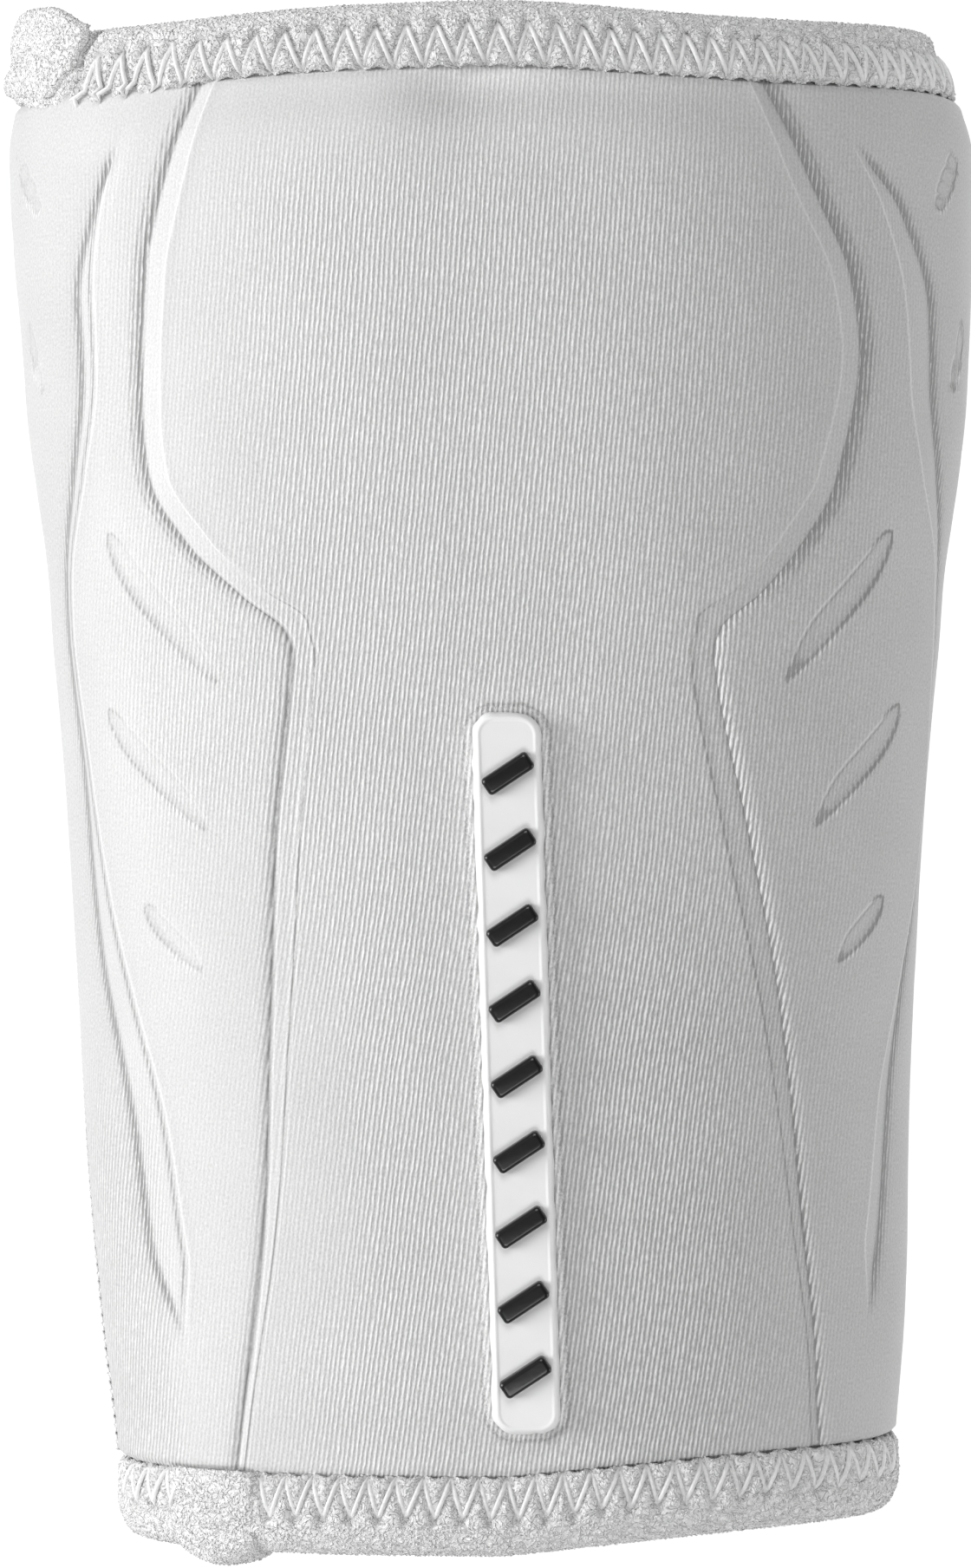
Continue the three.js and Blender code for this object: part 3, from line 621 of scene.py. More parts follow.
def buildSleeve():
    rows = np.linspace(0, 1, sleeveMesh["rows"])
    innerRows = np.linspace(1, 0, sleeveMesh["innerRows"])
    points = []
    uv = []
    marks = []
    for along in rows:
        shares = ringShares(along)
        girth = outlineAt(along)["girth"]
        distance = shares * girth - driftAt(along)
        y = (along - 0.5) * guard["length"]
        pastWrist = ease(along, wristTapeRow, wristRampRow)
        beforeForearm = 1 - ease(along, forearmRampRow, forearmTapeRow)
        front = 1 - ease(np.abs(shares), 0.55, 0.75)
        height = reliefAt(along, distance) + softWaves(along, distance) * front
        height = height * float(pastWrist * beforeForearm)
        place = pointsAt(along, shares, height)
        onFront = np.abs(shares) < 0.4
        inside = np.where(onFront, badgePlace(place[:, 0], place[:, 1]), -guard["length"])
        moat = np.exp(-(((inside + badge["moatAway"]) / badge["moatWidth"]) ** 2))
        moat = moat * (inside < 2 * badge["moatAway"])
        points.append(pointsAt(along, shares, height - badge["moatDepth"] * moat))
        uv.append(np.stack([shares * girth - ribTurn(y), np.full(len(shares), y)], axis=-1))
        mark = pressMarks(along, distance)
        mark["badgeLine"] = np.clip(inside, -6, 2)
        mark["ribMark"] = ribStrength(along, shares)
        mark["rightMark"] = (distance > 0).astype(float)
        # painted light left of the middle and painted shade towards both sides of the cloth
        mark["paintedLightMark"] = paintedLightAt(shares)
        marks.append(mark)
    for along in innerRows:
        shares = ringShares(along)
        girth = outlineAt(along)["girth"]
        y = (along - 0.5) * guard["length"]
        points.append(pointsAt(along, shares, 0 * shares, "inner"))
        uv.append(np.stack([shares * girth - ribTurn(y), np.full(len(shares), y)], axis=-1))
        plain = {name: np.full(len(shares), -6.0 if name.endswith("Line") else 0.0) for name in marks[0]}
        marks.append(plain)
    columnCount = len(points[0])
    allPoints = np.concatenate(points)
    faces = outwardFaces(allPoints, wrapFaces(len(points), columnCount))
    sleeve = meshFrom("sleeve_cloth", allPoints, faces)
    turns = np.repeat([2 * outlineAt(a)["girth"] for a in list(rows) + list(innerRows)], columnCount)
    setUv(sleeve, "cloth", np.concatenate(uv), faces, turns)
    for name in marks[0]:
        setAttribute(sleeve, name, np.concatenate([mark[name] for mark in marks]))
    return sleeve


sleeve = buildSleeve()
print("sleeve built,", len(sleeve.data.polygons), "faces")


# The tape folded over each edge, with its zigzag stitches and terry loops
tape = {
    "clear": 0.08,
    "thickness": 1.42,
    "crown": 0.35,
    "columns": 620,
    "ringPoints": 46,
    "gaps": [(-0.368, -0.268), (-0.56, -0.375)],  # shares of the half girth without zigzag, wrist first
    "pitch": 2.75,
    "lean": 0.42,  # where in a pitch the far point of a zigzag lies
    "edgeInset": 0.15,  # from the tape's edge to the near points
    "stitchHeight": 4.1,
    "dent": 0.55,
    "dentWidth": 0.5,
    "scallop": 0.2,
    "threadRadius": 0.27,
    "loopSpacing": 0.37,  # mm between terry loops
    "loopSize": (0.25, 0.12, 0.13),
    "loopDensity": 1.6e7,  # most loops in a square metre
    "seed": 7,
}


def foldOutline(reach, clear, thickness, crown, square=0.0):
    # Corners of the fold: distance in from the guard's edge, and height over its outer skin
    beyond = clear + thickness
    return np.array([
        [reach, clear],
        [reach + 0.05, clear + 0.55 * thickness],
        [reach - 0.5, clear + 0.92 * thickness],
        [0.6 * reach, beyond + crown],
        [0.25 * reach, beyond + crown],
        [-(0.15 + 0.35 * square) * beyond, (0.86 + 0.12 * square) * beyond],
        [-(0.72 + 0.22 * square) * beyond, (0.42 + 0.33 * square) * beyond],
        [-beyond, -0.3 * edgeWall],
        [-beyond, -0.7 * edgeWall],
        [-0.72 * beyond, -edgeWall - 0.42 * beyond],
        [-0.15 * beyond, -edgeWall - 0.86 * beyond],
        [0.5 * guard["innerReach"], -edgeWall - beyond],
        [guard["innerReach"], -edgeWall - clear - 0.6 * thickness],
        [guard["innerReach"], -edgeWall - clear],
        [0, -edgeWall - clear],
        [-clear, -edgeWall],
        [-clear, 0],
        [0, clear],
    ])


def roundOutline(corners, count):
    # A smooth closed line near the corners, cut into equal steps
    line = corners
    for cut in range(3):
        ahead = np.roll(line, -1, axis=0)
        line = np.stack([0.75 * line + 0.25 * ahead, 0.25 * line + 0.75 * ahead], axis=1).reshape(-1, 2)
    closed = np.vstack([line, line[:1]])
    run = np.concatenate([[0], np.cumsum(np.hypot(*np.diff(closed, axis=0).T))])
    at = np.linspace(0, run[-1], count, endpoint=False)
    return np.stack([np.interp(at, run, closed[:, 0]), np.interp(at, run, closed[:, 1])], axis=-1)


def overEdge(end, shares, inwards, height):
    # Places over the guard's edge. inwards and height are single numbers or one for each share
    inwards = np.broadcast_to(inwards, shares.shape)
    height = np.broadcast_to(height, shares.shape)
    inner = height < -edgeWall / 2
    along = abs(end - max(0.0, float(inwards.mean())) / guard["length"])
    over = pointsAt(along, shares, height)
    under = pointsAt(along, shares, height + edgeWall, "inner")
    place = np.where(inner[:, None], under, over)
    direction = 1 if end == 1 else -1
    extra = np.where(inwards < 0, -inwards, float(max(0.0, inwards.mean())) - inwards)
    place[:, 1] += direction * extra
    return place


def pitchAt(end, g):
    # The zigzag's pitch in mm. On the forearm tape it is longer left of the middle, and shorter to its right
    if end == 0:
        return np.full_like(g, tape["pitch"])
    middle = ease(g, -32, -22) * (1 - ease(g, 0, 12))
    return tape["pitch"] + 0.2 * middle - 0.3 * ease(g, 2, 14) * (1 - ease(g, 70, 90))


def tapeReach(end):
    return guard["forearmReach"] if end == 1 else guard["wristReach"]


def tapeGirth(end):
    return outlineAt(float(end))["girth"]


def stitchLine(end):
    # Places round the tape, and how many stitches have gone before each
    girth = tapeGirth(end)
    g = np.linspace(-girth, girth, 600)
    rate = 1 / pitchAt(end, g)
    counted = np.concatenate([[0], np.cumsum((rate[1:] + rate[:-1]) / 2 * np.diff(g))])
    count = int(round(counted[-1]))
    return g, counted * count / counted[-1]


def unsewn(end, g):
    # 1 where the tape has no zigzag, at its lap, and 0 elsewhere
    first, last = tape["gaps"][end]
    share = g / tapeGirth(end)
    return ease(share, first - 0.004, first + 0.004) * (1 - ease(share, last - 0.004, last + 0.004))


def stitchDistance(end, g, v):
    # How far places on the tape are from its zigzag. g runs round the tape, and v across it from its edge
    table, counted = stitchLine(end)
    g, v = np.broadcast_arrays(np.asarray(g, float), np.asarray(v, float))
    pitch = pitchAt(end, g)
    near = tape["edgeInset"]
    far = near + tape["stitchHeight"]
    best = np.full(g.shape, 9.0)
    local = np.mod(np.interp(g, table, counted), 1) * pitch
    for shift in (-1, 0, 1):
        for a, b in (((0, near), (tape["lean"], far)), ((tape["lean"], far), (1, near))):
            ax = (a[0] + shift) * pitch
            bx = (b[0] + shift) * pitch
            dx = bx - ax
            dy = b[1] - a[1]
            t = np.clip(((local - ax) * dx + (v - a[1]) * dy) / (dx * dx + dy * dy), 0, 1)
            best = np.minimum(best, np.hypot(local - ax - t * dx, v - a[1] - t * dy))
    return best + 9.0 * unsewn(end, g)


def tapeHeightChange(end, g, v):
    # How the stitches change the tape's height, along the thread and at its holes
    table, counted = stitchLine(end)
    phase = np.interp(g, table, counted)
    pressed = -tape["dent"] * np.exp(-((stitchDistance(end, g, v) / tape["dentWidth"]) ** 2))
    hole = np.exp(-(((v - tape["edgeInset"]) / 0.5) ** 2)) * np.cos(math.pi * phase) ** 8
    top = tape["edgeInset"] + tape["stitchHeight"]
    farHole = np.exp(-(((v - top) / 0.45) ** 2)) * np.cos(math.pi * (phase - tape["lean"])) ** 8
    return pressed - (0.35 * hole + 0.4 * farHole) * (1 - unsewn(end, g))


def reachGrowth(end, shares):
    # The forearm tape is wider towards its end, and narrow again under the lap
    if end == 0:
        return 0 * shares
    wide = 0.36 * ease(-shares, 0.2, 0.39) * (1 - ease(-shares, 0.405, 0.47))
    return wide - 0.12 * ease(-shares, 0.43, 0.5) * (1 - ease(-shares, 0.6, 0.75))


def lapEdge(v):
    # Share of the half girth where the forearm tape's end stops, at a distance v from the tape's edge
    return -0.389 + 0.004 * v + 0.006 * np.exp(-(((v - 2.9) / 0.7) ** 2))


def buildTape(name, end):
    clear = tape["clear"]
    reach = tapeReach(end)
    girth = tapeGirth(end)
    table, counted = stitchLine(end)
    corners = foldOutline(reach, clear, tape["thickness"], tape["crown"])
    line = roundOutline(corners, tape["ringPoints"])
    g = np.linspace(-girth, girth, tape["columns"], endpoint=False)
    shares = g / girth
    rings = []
    pile = []
    stitchShade = []
    uv = []
    rng = np.random.default_rng(tape["seed"] + end)
    wobble = np.interp(g, np.linspace(-girth, girth, 90), rng.normal(0, 0.06, 90))
    for x, y in line:
        v = reach - x
        apart = stitchDistance(end, g, v)
        outside = y > clear + 0.2
        insideFace = y < -edgeWall - clear - 0.2
        offCloth = y > clear * 1.5 or y < -edgeWall - clear * 1.5 or x < -clear - 0.3
        rim = x < 0.3 and offCloth
        height = np.full_like(g, y) + (wobble if outside else 0)
        inwards = np.full_like(g, x)
        if outside:
            weight = float(ease(y, clear, clear + 0.7 * tape["thickness"]))
            height = height + tapeHeightChange(end, g, v) * weight
            phase = np.interp(g, table, counted)
            inwards = inwards + tape["scallop"] * np.cos(2 * math.pi * phase) * math.exp(-max(v, 0) / 0.8)
        inwards = inwards * np.where(inwards > 0, 1 + reachGrowth(end, shares), 1.0)
        beside = 0 * g
        if end == 1:
            atRim = float(1 - ease(x, 0.0, 0.6 * reach))
            thin = 0.35 * ease(shares, 0.25, 0.42) + 0.4 * atRim * ease(shares, 0.33, 0.45)
            height = height - np.minimum(thin, 0.8) * np.maximum(height, 0)
            if outside:
                beside = np.exp(-((((shares - lapEdge(v)) * girth - 0.3) / 0.4) ** 2))
                height = height - 0.75 * beside
        rings.append(overEdge(end, shares, inwards, height))
        grown = 1.0 if (outside or insideFace or rim) else 0.0
        sewn = 0.92 * np.exp(-((apart / 0.26) ** 2)) if outside else 0 * g
        pile.append(grown * np.clip(1 - sewn - beside, 0, 1))
        # painted shade in the dents along the stitches and in the groove beside the lap's end
        near = np.exp(-((apart / 0.5) ** 2)) if outside else 0 * g
        stitchShade.append(near + beside)
        innerShift = 20 if y < -edgeWall / 2 else 0
        uv.append(np.stack([g, np.full_like(g, v + innerShift)], axis=-1))
    points = np.concatenate(rings)
    faces = outwardFaces(points, wrapFaces(len(rings), len(g)))
    made = meshFrom(name, points, faces)
    setUv(made, "tape", np.concatenate(uv), faces, 2 * girth)
    setAttribute(made, "pile", np.concatenate(pile))
    setAttribute(made, "stitchShade", np.concatenate(stitchShade))
    return made


forearmBinding = buildTape("forearm_binding_tape", 1)
wristBinding = buildTape("wrist_binding_tape", 0)
print("bindings built,", len(forearmBinding.data.polygons), "faces each")


# Shader maths written as sums and products of sockets
class Wire:
    def __init__(self, shader, socket):
        self.shader = shader
        self.socket = socket

    def maths(self, operation, *others):
        return self.shader.node("ShaderNodeMath", {"operation": operation}, dict(enumerate([self, *others])))

    def turned(self, operation, other):
        return self.shader.node("ShaderNodeMath", {"operation": operation}, {0: other, 1: self})

    def __add__(self, other):
        return self.maths("ADD", other)

    def __radd__(self, other):
        return self.turned("ADD", other)

    def __sub__(self, other):
        return self.maths("SUBTRACT", other)

    def __rsub__(self, other):
        return self.turned("SUBTRACT", other)

    def __mul__(self, other):
        return self.maths("MULTIPLY", other)

    def __truediv__(self, other):
        return self.maths("DIVIDE", other)


class Shader:
    def __init__(self, name):
        self.material = bpy.data.materials.new(name)
        self.material.use_nodes = True
        self.tree = self.material.node_tree
        self.tree.nodes.clear()

    def node(self, kind, settings=None, inputs=None, output=0):
        made = self.tree.nodes.new(kind)
        for key, value in (settings or {}).items():
            setattr(made, key, value)
        for key, value in (inputs or {}).items():
            if isinstance(value, Wire):
                self.tree.links.new(value.socket, made.inputs[key])
            else:
                made.inputs[key].default_value = value
        return Wire(self, made.outputs[output]) if made.outputs else None

    def mix(self, factor, first, second):
        return self.node("ShaderNodeMix", {"data_type": "RGBA"}, {0: factor, 6: first, 7: second}, 2)

    def grain(self, place, scale, detail, **more):
        inputs = {"Vector": place, "Scale": scale, "Detail": detail, **more}
        return self.node("ShaderNodeTexNoise", {}, inputs)

    def marked(self, name):
        return self.node("ShaderNodeAttribute", {"attribute_name": name}, {}, 2)

    def bump(self, height):
        return self.node("ShaderNodeBump", {}, {"Strength": 1.0, "Distance": mm, "Height": height})

    def finish(self, inputs):
        surface = self.node("ShaderNodeBsdfPrincipled", {}, inputs)
        self.node("ShaderNodeOutputMaterial", {}, {"Surface": surface})
        return self.material


def grey(value, warmth=0.0):
    return (value + warmth, value, value - warmth, 1.0)


knit = {
    "pitch": 0.488,  # mm from rib to rib
    "ribDepth": 0.07,  # mm
    "fleckDepth": 0.03,
    "sheen": 0.08,
}


def knitCloth():
    shader = Shader("knit_cloth")
    place = shader.node("ShaderNodeUVMap", {"uv_map": "cloth"})
    u = shader.node("ShaderNodeSeparateXYZ", {}, {0: place}, 0)
    v = shader.node("ShaderNodeSeparateXYZ", {}, {0: place}, 1)

    mark = shader.marked

    def near(distance, width):
        # 1 on a line, falling to 0 at a distance of width from it
        fade = (1 - distance.maths("ABSOLUTE") / width).maths("MAXIMUM", 0.0)
        return fade * fade

    def beyond(distance, width):
        # 1 just past a line, fading over width, and 0 before it
        fade = (1 - distance / width).maths("MAXIMUM", 0.0)
        return fade * fade * distance.maths("GREATER_THAN", 0.0)

    def noise(x, y, detail):
        spot = shader.node("ShaderNodeCombineXYZ", {}, {0: x, 1: y})
        settings = {"noise_dimensions": "2D"}
        return shader.node("ShaderNodeTexNoise", settings, {"Vector": spot, "Scale": 1.0, "Detail": detail})

    # ribs, with stitches of uneven height along each
    drift = noise(u * 0.4, v * 0.1, 1.0)
    wiggle = noise(u * 2.1, v * 0.8, 1.0)
    turns = (u + drift * 0.25 + wiggle * 0.13) / knit["pitch"]
    wave = (turns * (2 * math.pi)).maths("COSINE") * 0.5 + 0.5
    stitches = noise(turns * 1.25, v * 1.05, 2.0)
    flecks = noise(u * 5.5, v * 3.4, 2.0)
    patches = noise(u * 0.12, v * 0.1, 2.0)

    # lines along the mould's edges, with painted shade in the creases and at the feet of the steps, and
    # painted highlights along the edges that face the light
    upper = mark("upperMark")
    rimSharp = mark("rimMark")
    foot = mark("footLine")
    rim = mark("rimLine")
    pad = mark("padLine")
    ridge = mark("ridgeLine")
    leaf = mark("leafLine")
    leafShade = mark("leafShade")
    leafHighlight = mark("leafHighlight")
    # right and left set how strongly each painted shade or highlight shows on either side of the front, as
    # the light falls from the left
    right = mark("rightMark")
    left = 1 - right
    rib = wave * (0.15 + stitches * 1.7)
    valley = (1.15 - rib).maths("MAXIMUM", 0.0)
    # painted shade in a wide band outside the feet of the steps, darker on the right
    band = beyond(foot, 3.4) * upper * (0.35 + right * 0.4)
    band = band.maths("MAXIMUM", beyond(rim, 2.6) * rimSharp * (0.4 + right * 0.6))
    bevel = pad.maths("GREATER_THAN", 0.0) * foot.maths("LESS_THAN", 0.0) * upper
    # painted highlight on the side pad's rounded shoulder where it faces the light, stronger on the right
    shoulder = beyond(foot, 1.8) * (1 - upper) * (0.8 + right * 0.8)

    # strokes are ribs pressed shut in the creases, drawn darker than the cloth as painted shade
    strokes = near(foot - 0.35, 1.0) * 1.1 + near(foot - 1.3, 0.6) * 0.5
    strokes = strokes * upper * (0.35 + upper * 0.65) * (0.85 + left * 0.15)
    strokes = strokes + near(rim - right * 0.4 + 0.1, 1.1) * rimSharp * (0.9 + left * 0.6)
    strokes = strokes + near(ridge - 0.8, 0.8) * rimSharp * left * 0.8
    strokes = strokes + near(leaf, 0.42) * leafShade * (0.45 + right * 0.85)
    # painted shade in the pressed lines at the feet, rims and pad edges, along the leaves' lower edges and
    # at their tips
    dark = near(foot, 0.3) * (1 - upper * 0.5) + near(rim, 0.3) * rimSharp * right * 0.6
    dark = dark + near(pad, 0.3) * (1 - upper) * (0.8 + left * 0.4)
    dark = dark + near(leaf, 0.28) * leafShade * right * 0.5 + mark("leafTipShade") * (0.1 + right * 0.45)
    dark = dark + near(leaf - 0.32, 0.26) * leafHighlight * (0.1 + right * 0.45)
    # painted highlights along the pad edges, ridges and the leaves' upper edges, which face the light
    light = near(pad, 0.3) * upper * 1.3 + near(ridge, 0.32) * rimSharp * (1.2 + right * 0.5)
    light = light + (near(foot + 0.5, 0.25) + near(pad + 0.45, 0.25)) * (1 - upper) * left * 0.8
    light = light + near(leaf, 0.28) * leafHighlight * (0.45 + right * 1.15)
    # painted highlight on the leaves' lower walls and the side pads' shoulders
    shine = near(leaf + 0.3, 0.5) * mark("leafShine") + shoulder
    smooth = beyond(0 - pad, 5.0) * upper * 0.6
    strength = mark("ribMark") * (1 - smooth) * (1 - bevel * 0.6) + band * 0.9 + shine * 0.6
    strength = strength.maths("MINIMUM", 1.5)

    # the welded edge of the badge: a ragged pale weld line round the plate, with painted shade at the
    # plate's foot and outside the weld, and a painted shadow to the plate's right
    badgeLine = mark("badgeLine")
    ragged = noise(u * 2.6, v * 2.6, 3.0) - 0.5
    weld = near(badgeLine + 0.45 + ragged * 0.9, 0.5)
    badgeShade = near(badgeLine + 0.85 + ragged * 0.8, 0.3) + near(badgeLine + 0.05, 0.3)
    badgeShade = badgeShade + near(badgeLine + 0.9, 1.1) * right * 0.5

    shape = (rib - 0.5) * strength + 0.5
    height = shape * knit["ribDepth"] + flecks * knit["fleckDepth"] + weld * 0.05 + ragged * weld * 0.25
    height = height - (dark + strokes * valley) * 0.06 + light * 0.03
    # the rib valleys are painted darker as shade, as strongly as the ribs stand out
    tone = shape * 0.85 + (flecks - 0.5) * 0.75 + 0.08 + (patches - 0.5) * 0.12
    # painted shade inside the leaf hollows and along the strokes, bands and dark lines, and painted
    # highlights along the light and shine marks
    tone = tone - beyond(leaf, 2.0) * 0.1 - strokes * valley * 1.15
    tone = tone - band * 0.34 - dark * (1.2 - shape * 0.8) + light * 0.34 + shine * shape * 0.5
    # the ragged weld line, the painted shade and shadow round the badge, and the cloth's painted light and
    # shade across the front
    tone = tone + weld * 0.45 - badgeShade * 0.5 + mark("paintedLightMark")
    tone = tone.maths("MINIMUM", 1.2).maths("MAXIMUM", -0.4)
    colour = shader.mix(tone * 0.6 + 0.24, grey(0.34), grey(0.97))
    return shader.finish({
        "Base Color": colour,
        "Roughness": 0.72 - shape * 0.1,
        "Sheen Weight": knit["sheen"],
        "Sheen Roughness": 0.45,
        "Normal": shader.bump(height),
    })


def terryCloth():
    shader = Shader("terry_tape")
    place = shader.node("ShaderNodeTexCoord", {}, {}, 3)
    bend = shader.grain(place, 1450.0, 2.0, Distortion=0.7)
    worm = (1 - (bend - 0.5).maths("ABSOLUTE") * 9.0).maths("MAXIMUM", 0.0)
    grain = shader.grain(place, 2500.0, 2.0)
    blotch = shader.grain(place, 260.0, 2.0)
    loops = worm * 0.55 + grain * 0.45
    # the terry is painted darker round the stitches and beside the lap's end, as shade in those dents
    tone = loops * 1.5 + blotch * 0.3 - 0.05 - shader.marked("stitchShade") * 0.7
    colour = shader.mix(tone.maths("MINIMUM", 1.0).maths("MAXIMUM", -0.5), grey(0.72), grey(1.0))
    return shader.finish({
        "Base Color": colour,
        "Roughness": 0.92,
        "Sheen Weight": 0.15,
        "Sheen Roughness": 0.6,
        "Normal": shader.bump(loops * 0.3),
    })


def sewingThread():
    shader = Shader("sewing_thread")
    place = shader.node("ShaderNodeTexCoord", {}, {}, 3)
    twist = shader.grain(place, 2600.0, 2.0)
    return shader.finish({
        "Base Color": shader.mix(twist, grey(0.72), grey(1.0)),
        "Roughness": 0.5,
        "Sheen Weight": 0.1,
        "Normal": shader.bump(twist * 0.05),
    })


def softRubber(name, dark, light, roughness, coat):
    shader = Shader(name)
    place = shader.node("ShaderNodeTexCoord", {}, {}, 3)
    grain = shader.grain(place, 1500.0, 3.0)
    cloud = shader.grain(place, 180.0, 2.0)
    return shader.finish({
        "Base Color": shader.mix(cloud, grey(dark), grey(light)),
        "Roughness": roughness + grain * 0.08,
        "Coat Weight": coat,
        "Normal": shader.bump(grain * 0.015),
    })


knitMaterial = knitCloth()
terryMaterial = terryCloth()
threadMaterial = sewingThread()
badgeMaterial = softRubber("badge_white_rubber", 0.90, 0.96, 0.42, 0.05)
barMaterial = softRubber("badge_black_rubber", 0.006, 0.012, 0.3, 0.15)
print("materials made")

sleeve.data.materials.append(knitMaterial)
forearmBinding.data.materials.append(terryMaterial)
wristBinding.data.materials.append(terryMaterial)


# Geometry Nodes trees, each with its sizes as named inputs
class NodeTree:
    def __init__(self, name, inputs):
        self.group = bpy.data.node_groups.new(name, "GeometryNodeTree")
        self.group.interface.new_socket("Geometry", in_out="INPUT", socket_type="NodeSocketGeometry")
        for label, (kind, value) in inputs.items():
            socket = self.group.interface.new_socket(label, in_out="INPUT", socket_type=kind)
            if value is not None:
                socket.default_value = value
        self.group.interface.new_socket("Geometry", in_out="OUTPUT", socket_type="NodeSocketGeometry")
        self.start = self.group.nodes.new("NodeGroupInput")
        self.end = self.group.nodes.new("NodeGroupOutput")

    def add(self, kind, settings=None, inputs=None):
        made = self.group.nodes.new(kind)
        for key, value in (settings or {}).items():
            setattr(made, key, value)
        for key, value in (inputs or {}).items():
            if isinstance(value, bpy.types.NodeSocket):
                self.group.links.new(value, made.inputs[key])
            else:
                made.inputs[key].default_value = value
        return made

    def given(self, label):
        return self.start.outputs[label]

    def finish(self, geometry):
        realized = self.add("GeometryNodeRealizeInstances", {}, {"Geometry": geometry})
        finish = {"Geometry": realized.outputs[0], "Material": self.given("Material")}
        dressed = self.add("GeometryNodeSetMaterial", {}, finish)
        self.group.links.new(dressed.outputs[0], self.end.inputs[0])
        return self.group


def bakeNodes(obj, group, values, name):
    # Runs a tree on an object and keeps what it makes as a plain mesh
    modifier = obj.modifiers.new("build", "NODES")
    modifier.node_group = group
    for item in group.interface.items_tree:
        if item.item_type == "SOCKET" and item.in_out == "INPUT" and item.name in values:
            modifier[item.identifier] = values[item.name]
    graph = bpy.context.evaluated_depsgraph_get()
    graph.update()
    data = bpy.data.meshes.new_from_object(obj.evaluated_get(graph), depsgraph=graph)
    obj.modifiers.remove(modifier)
    data.name = name
    data.polygons.foreach_set("use_smooth", np.ones(len(data.polygons), bool))
    return newObject(name, data)


def threadTree():
    # A thread that follows a path of edges
    tree = NodeTree("thread_on_path", {
        "Radius": ("NodeSocketFloat", 0.0002),
        "Sides": ("NodeSocketInt", 6),
        "Material": ("NodeSocketMaterial", None),
    })
    path = tree.add("GeometryNodeMeshToCurve", {}, {"Mesh": tree.given("Geometry")})
    sizes = {"Resolution": tree.given("Sides"), "Radius": tree.given("Radius")}
    ring = tree.add("GeometryNodeCurvePrimitiveCircle", {}, sizes)
    curves = {"Curve": path.outputs[0], "Profile Curve": ring.outputs[0], "Fill Caps": True}
    tube = tree.add("GeometryNodeCurveToMesh", {}, curves)
    return tree.finish(tube.outputs[0])


def pileTree():
    # Small lumps of terry, scattered over a skin and lying along it
    tree = NodeTree("terry_pile", {
        "Spacing": ("NodeSocketFloat", 0.0004),
        "Density": ("NodeSocketFloat", 1.0e7),
        "Size": ("NodeSocketVector", (0.0003, 0.0002, 0.0002)),
        "Seed": ("NodeSocketInt", 1),
        "Material": ("NodeSocketMaterial", None),
    })
    grown = tree.add("GeometryNodeInputNamedAttribute", {"data_type": "FLOAT"}, {"Name": "pile"})
    spots = tree.add(
        "GeometryNodeDistributePointsOnFaces",
        {"distribute_method": "POISSON"},
        {
            "Mesh": tree.given("Geometry"),
            "Distance Min": tree.given("Spacing"),
            "Density Max": tree.given("Density"),
            "Density Factor": grown.outputs[0],
            "Seed": tree.given("Seed"),
        },
    )
    turn = tree.add(
        "FunctionNodeRandomValue",
        {"data_type": "FLOAT_VECTOR"},
        {0: (-0.5, -0.5, 0.0), 1: (0.5, 0.5, 6.283), "Seed": tree.given("Seed")},
    )
    spin = tree.add(
        "FunctionNodeRotateEuler",
        {"rotation_type": "EULER", "space": "LOCAL"},
        {"Rotation": spots.outputs["Rotation"], "Rotate By": turn.outputs[0]},
    )
    lump = tree.add("GeometryNodeMeshUVSphere", {}, {"Segments": 4, "Rings": 2, "Radius": 1.0})
    grow = tree.add(
        "FunctionNodeRandomValue",
        {"data_type": "FLOAT_VECTOR"},
        {0: (0.7, 0.75, 0.6), 1: (1.3, 1.25, 1.35), "Seed": tree.given("Seed")},
    )
    sides = {0: grow.outputs[0], 1: tree.given("Size")}
    size = tree.add("ShaderNodeVectorMath", {"operation": "MULTIPLY"}, sides)
    placed = tree.add(
        "GeometryNodeInstanceOnPoints",
        {},
        {
            "Points": spots.outputs["Points"],
            "Instance": lump.outputs["Mesh"],
            "Rotation": spin.outputs[0],
            "Scale": size.outputs[0],
        },
    )
    return tree.finish(placed.outputs[0])


threadNodes = threadTree()
pileNodes = pileTree()


def growPile(binding, name, seed):
    values = {
        "Spacing": tape["loopSpacing"] * mm,
        "Density": tape["loopDensity"],
        "Size": tuple(side * mm for side in tape["loopSize"]),
        "Seed": seed,
        "Material": terryMaterial,
    }
    return bakeNodes(binding, pileNodes, values, name)


def pathObject(name, strands):
    data = bpy.data.meshes.new(name)
    points = []
    edges = []
    for strand in strands:
        edges += [(len(points) + i, len(points) + i + 1) for i in range(len(strand) - 1)]
        points += [tuple(p * mm) for p in strand]
    data.from_pydata(points, edges, [])
    return newObject(name, data)


def sewThread(name, strands, radius, sides=6):
    path = pathObject(name + "_path", strands)
    values = {"Radius": radius * mm, "Sides": sides, "Material": threadMaterial}
    made = bakeNodes(path, threadNodes, values, name)
    bpy.data.objects.remove(path)
    return made


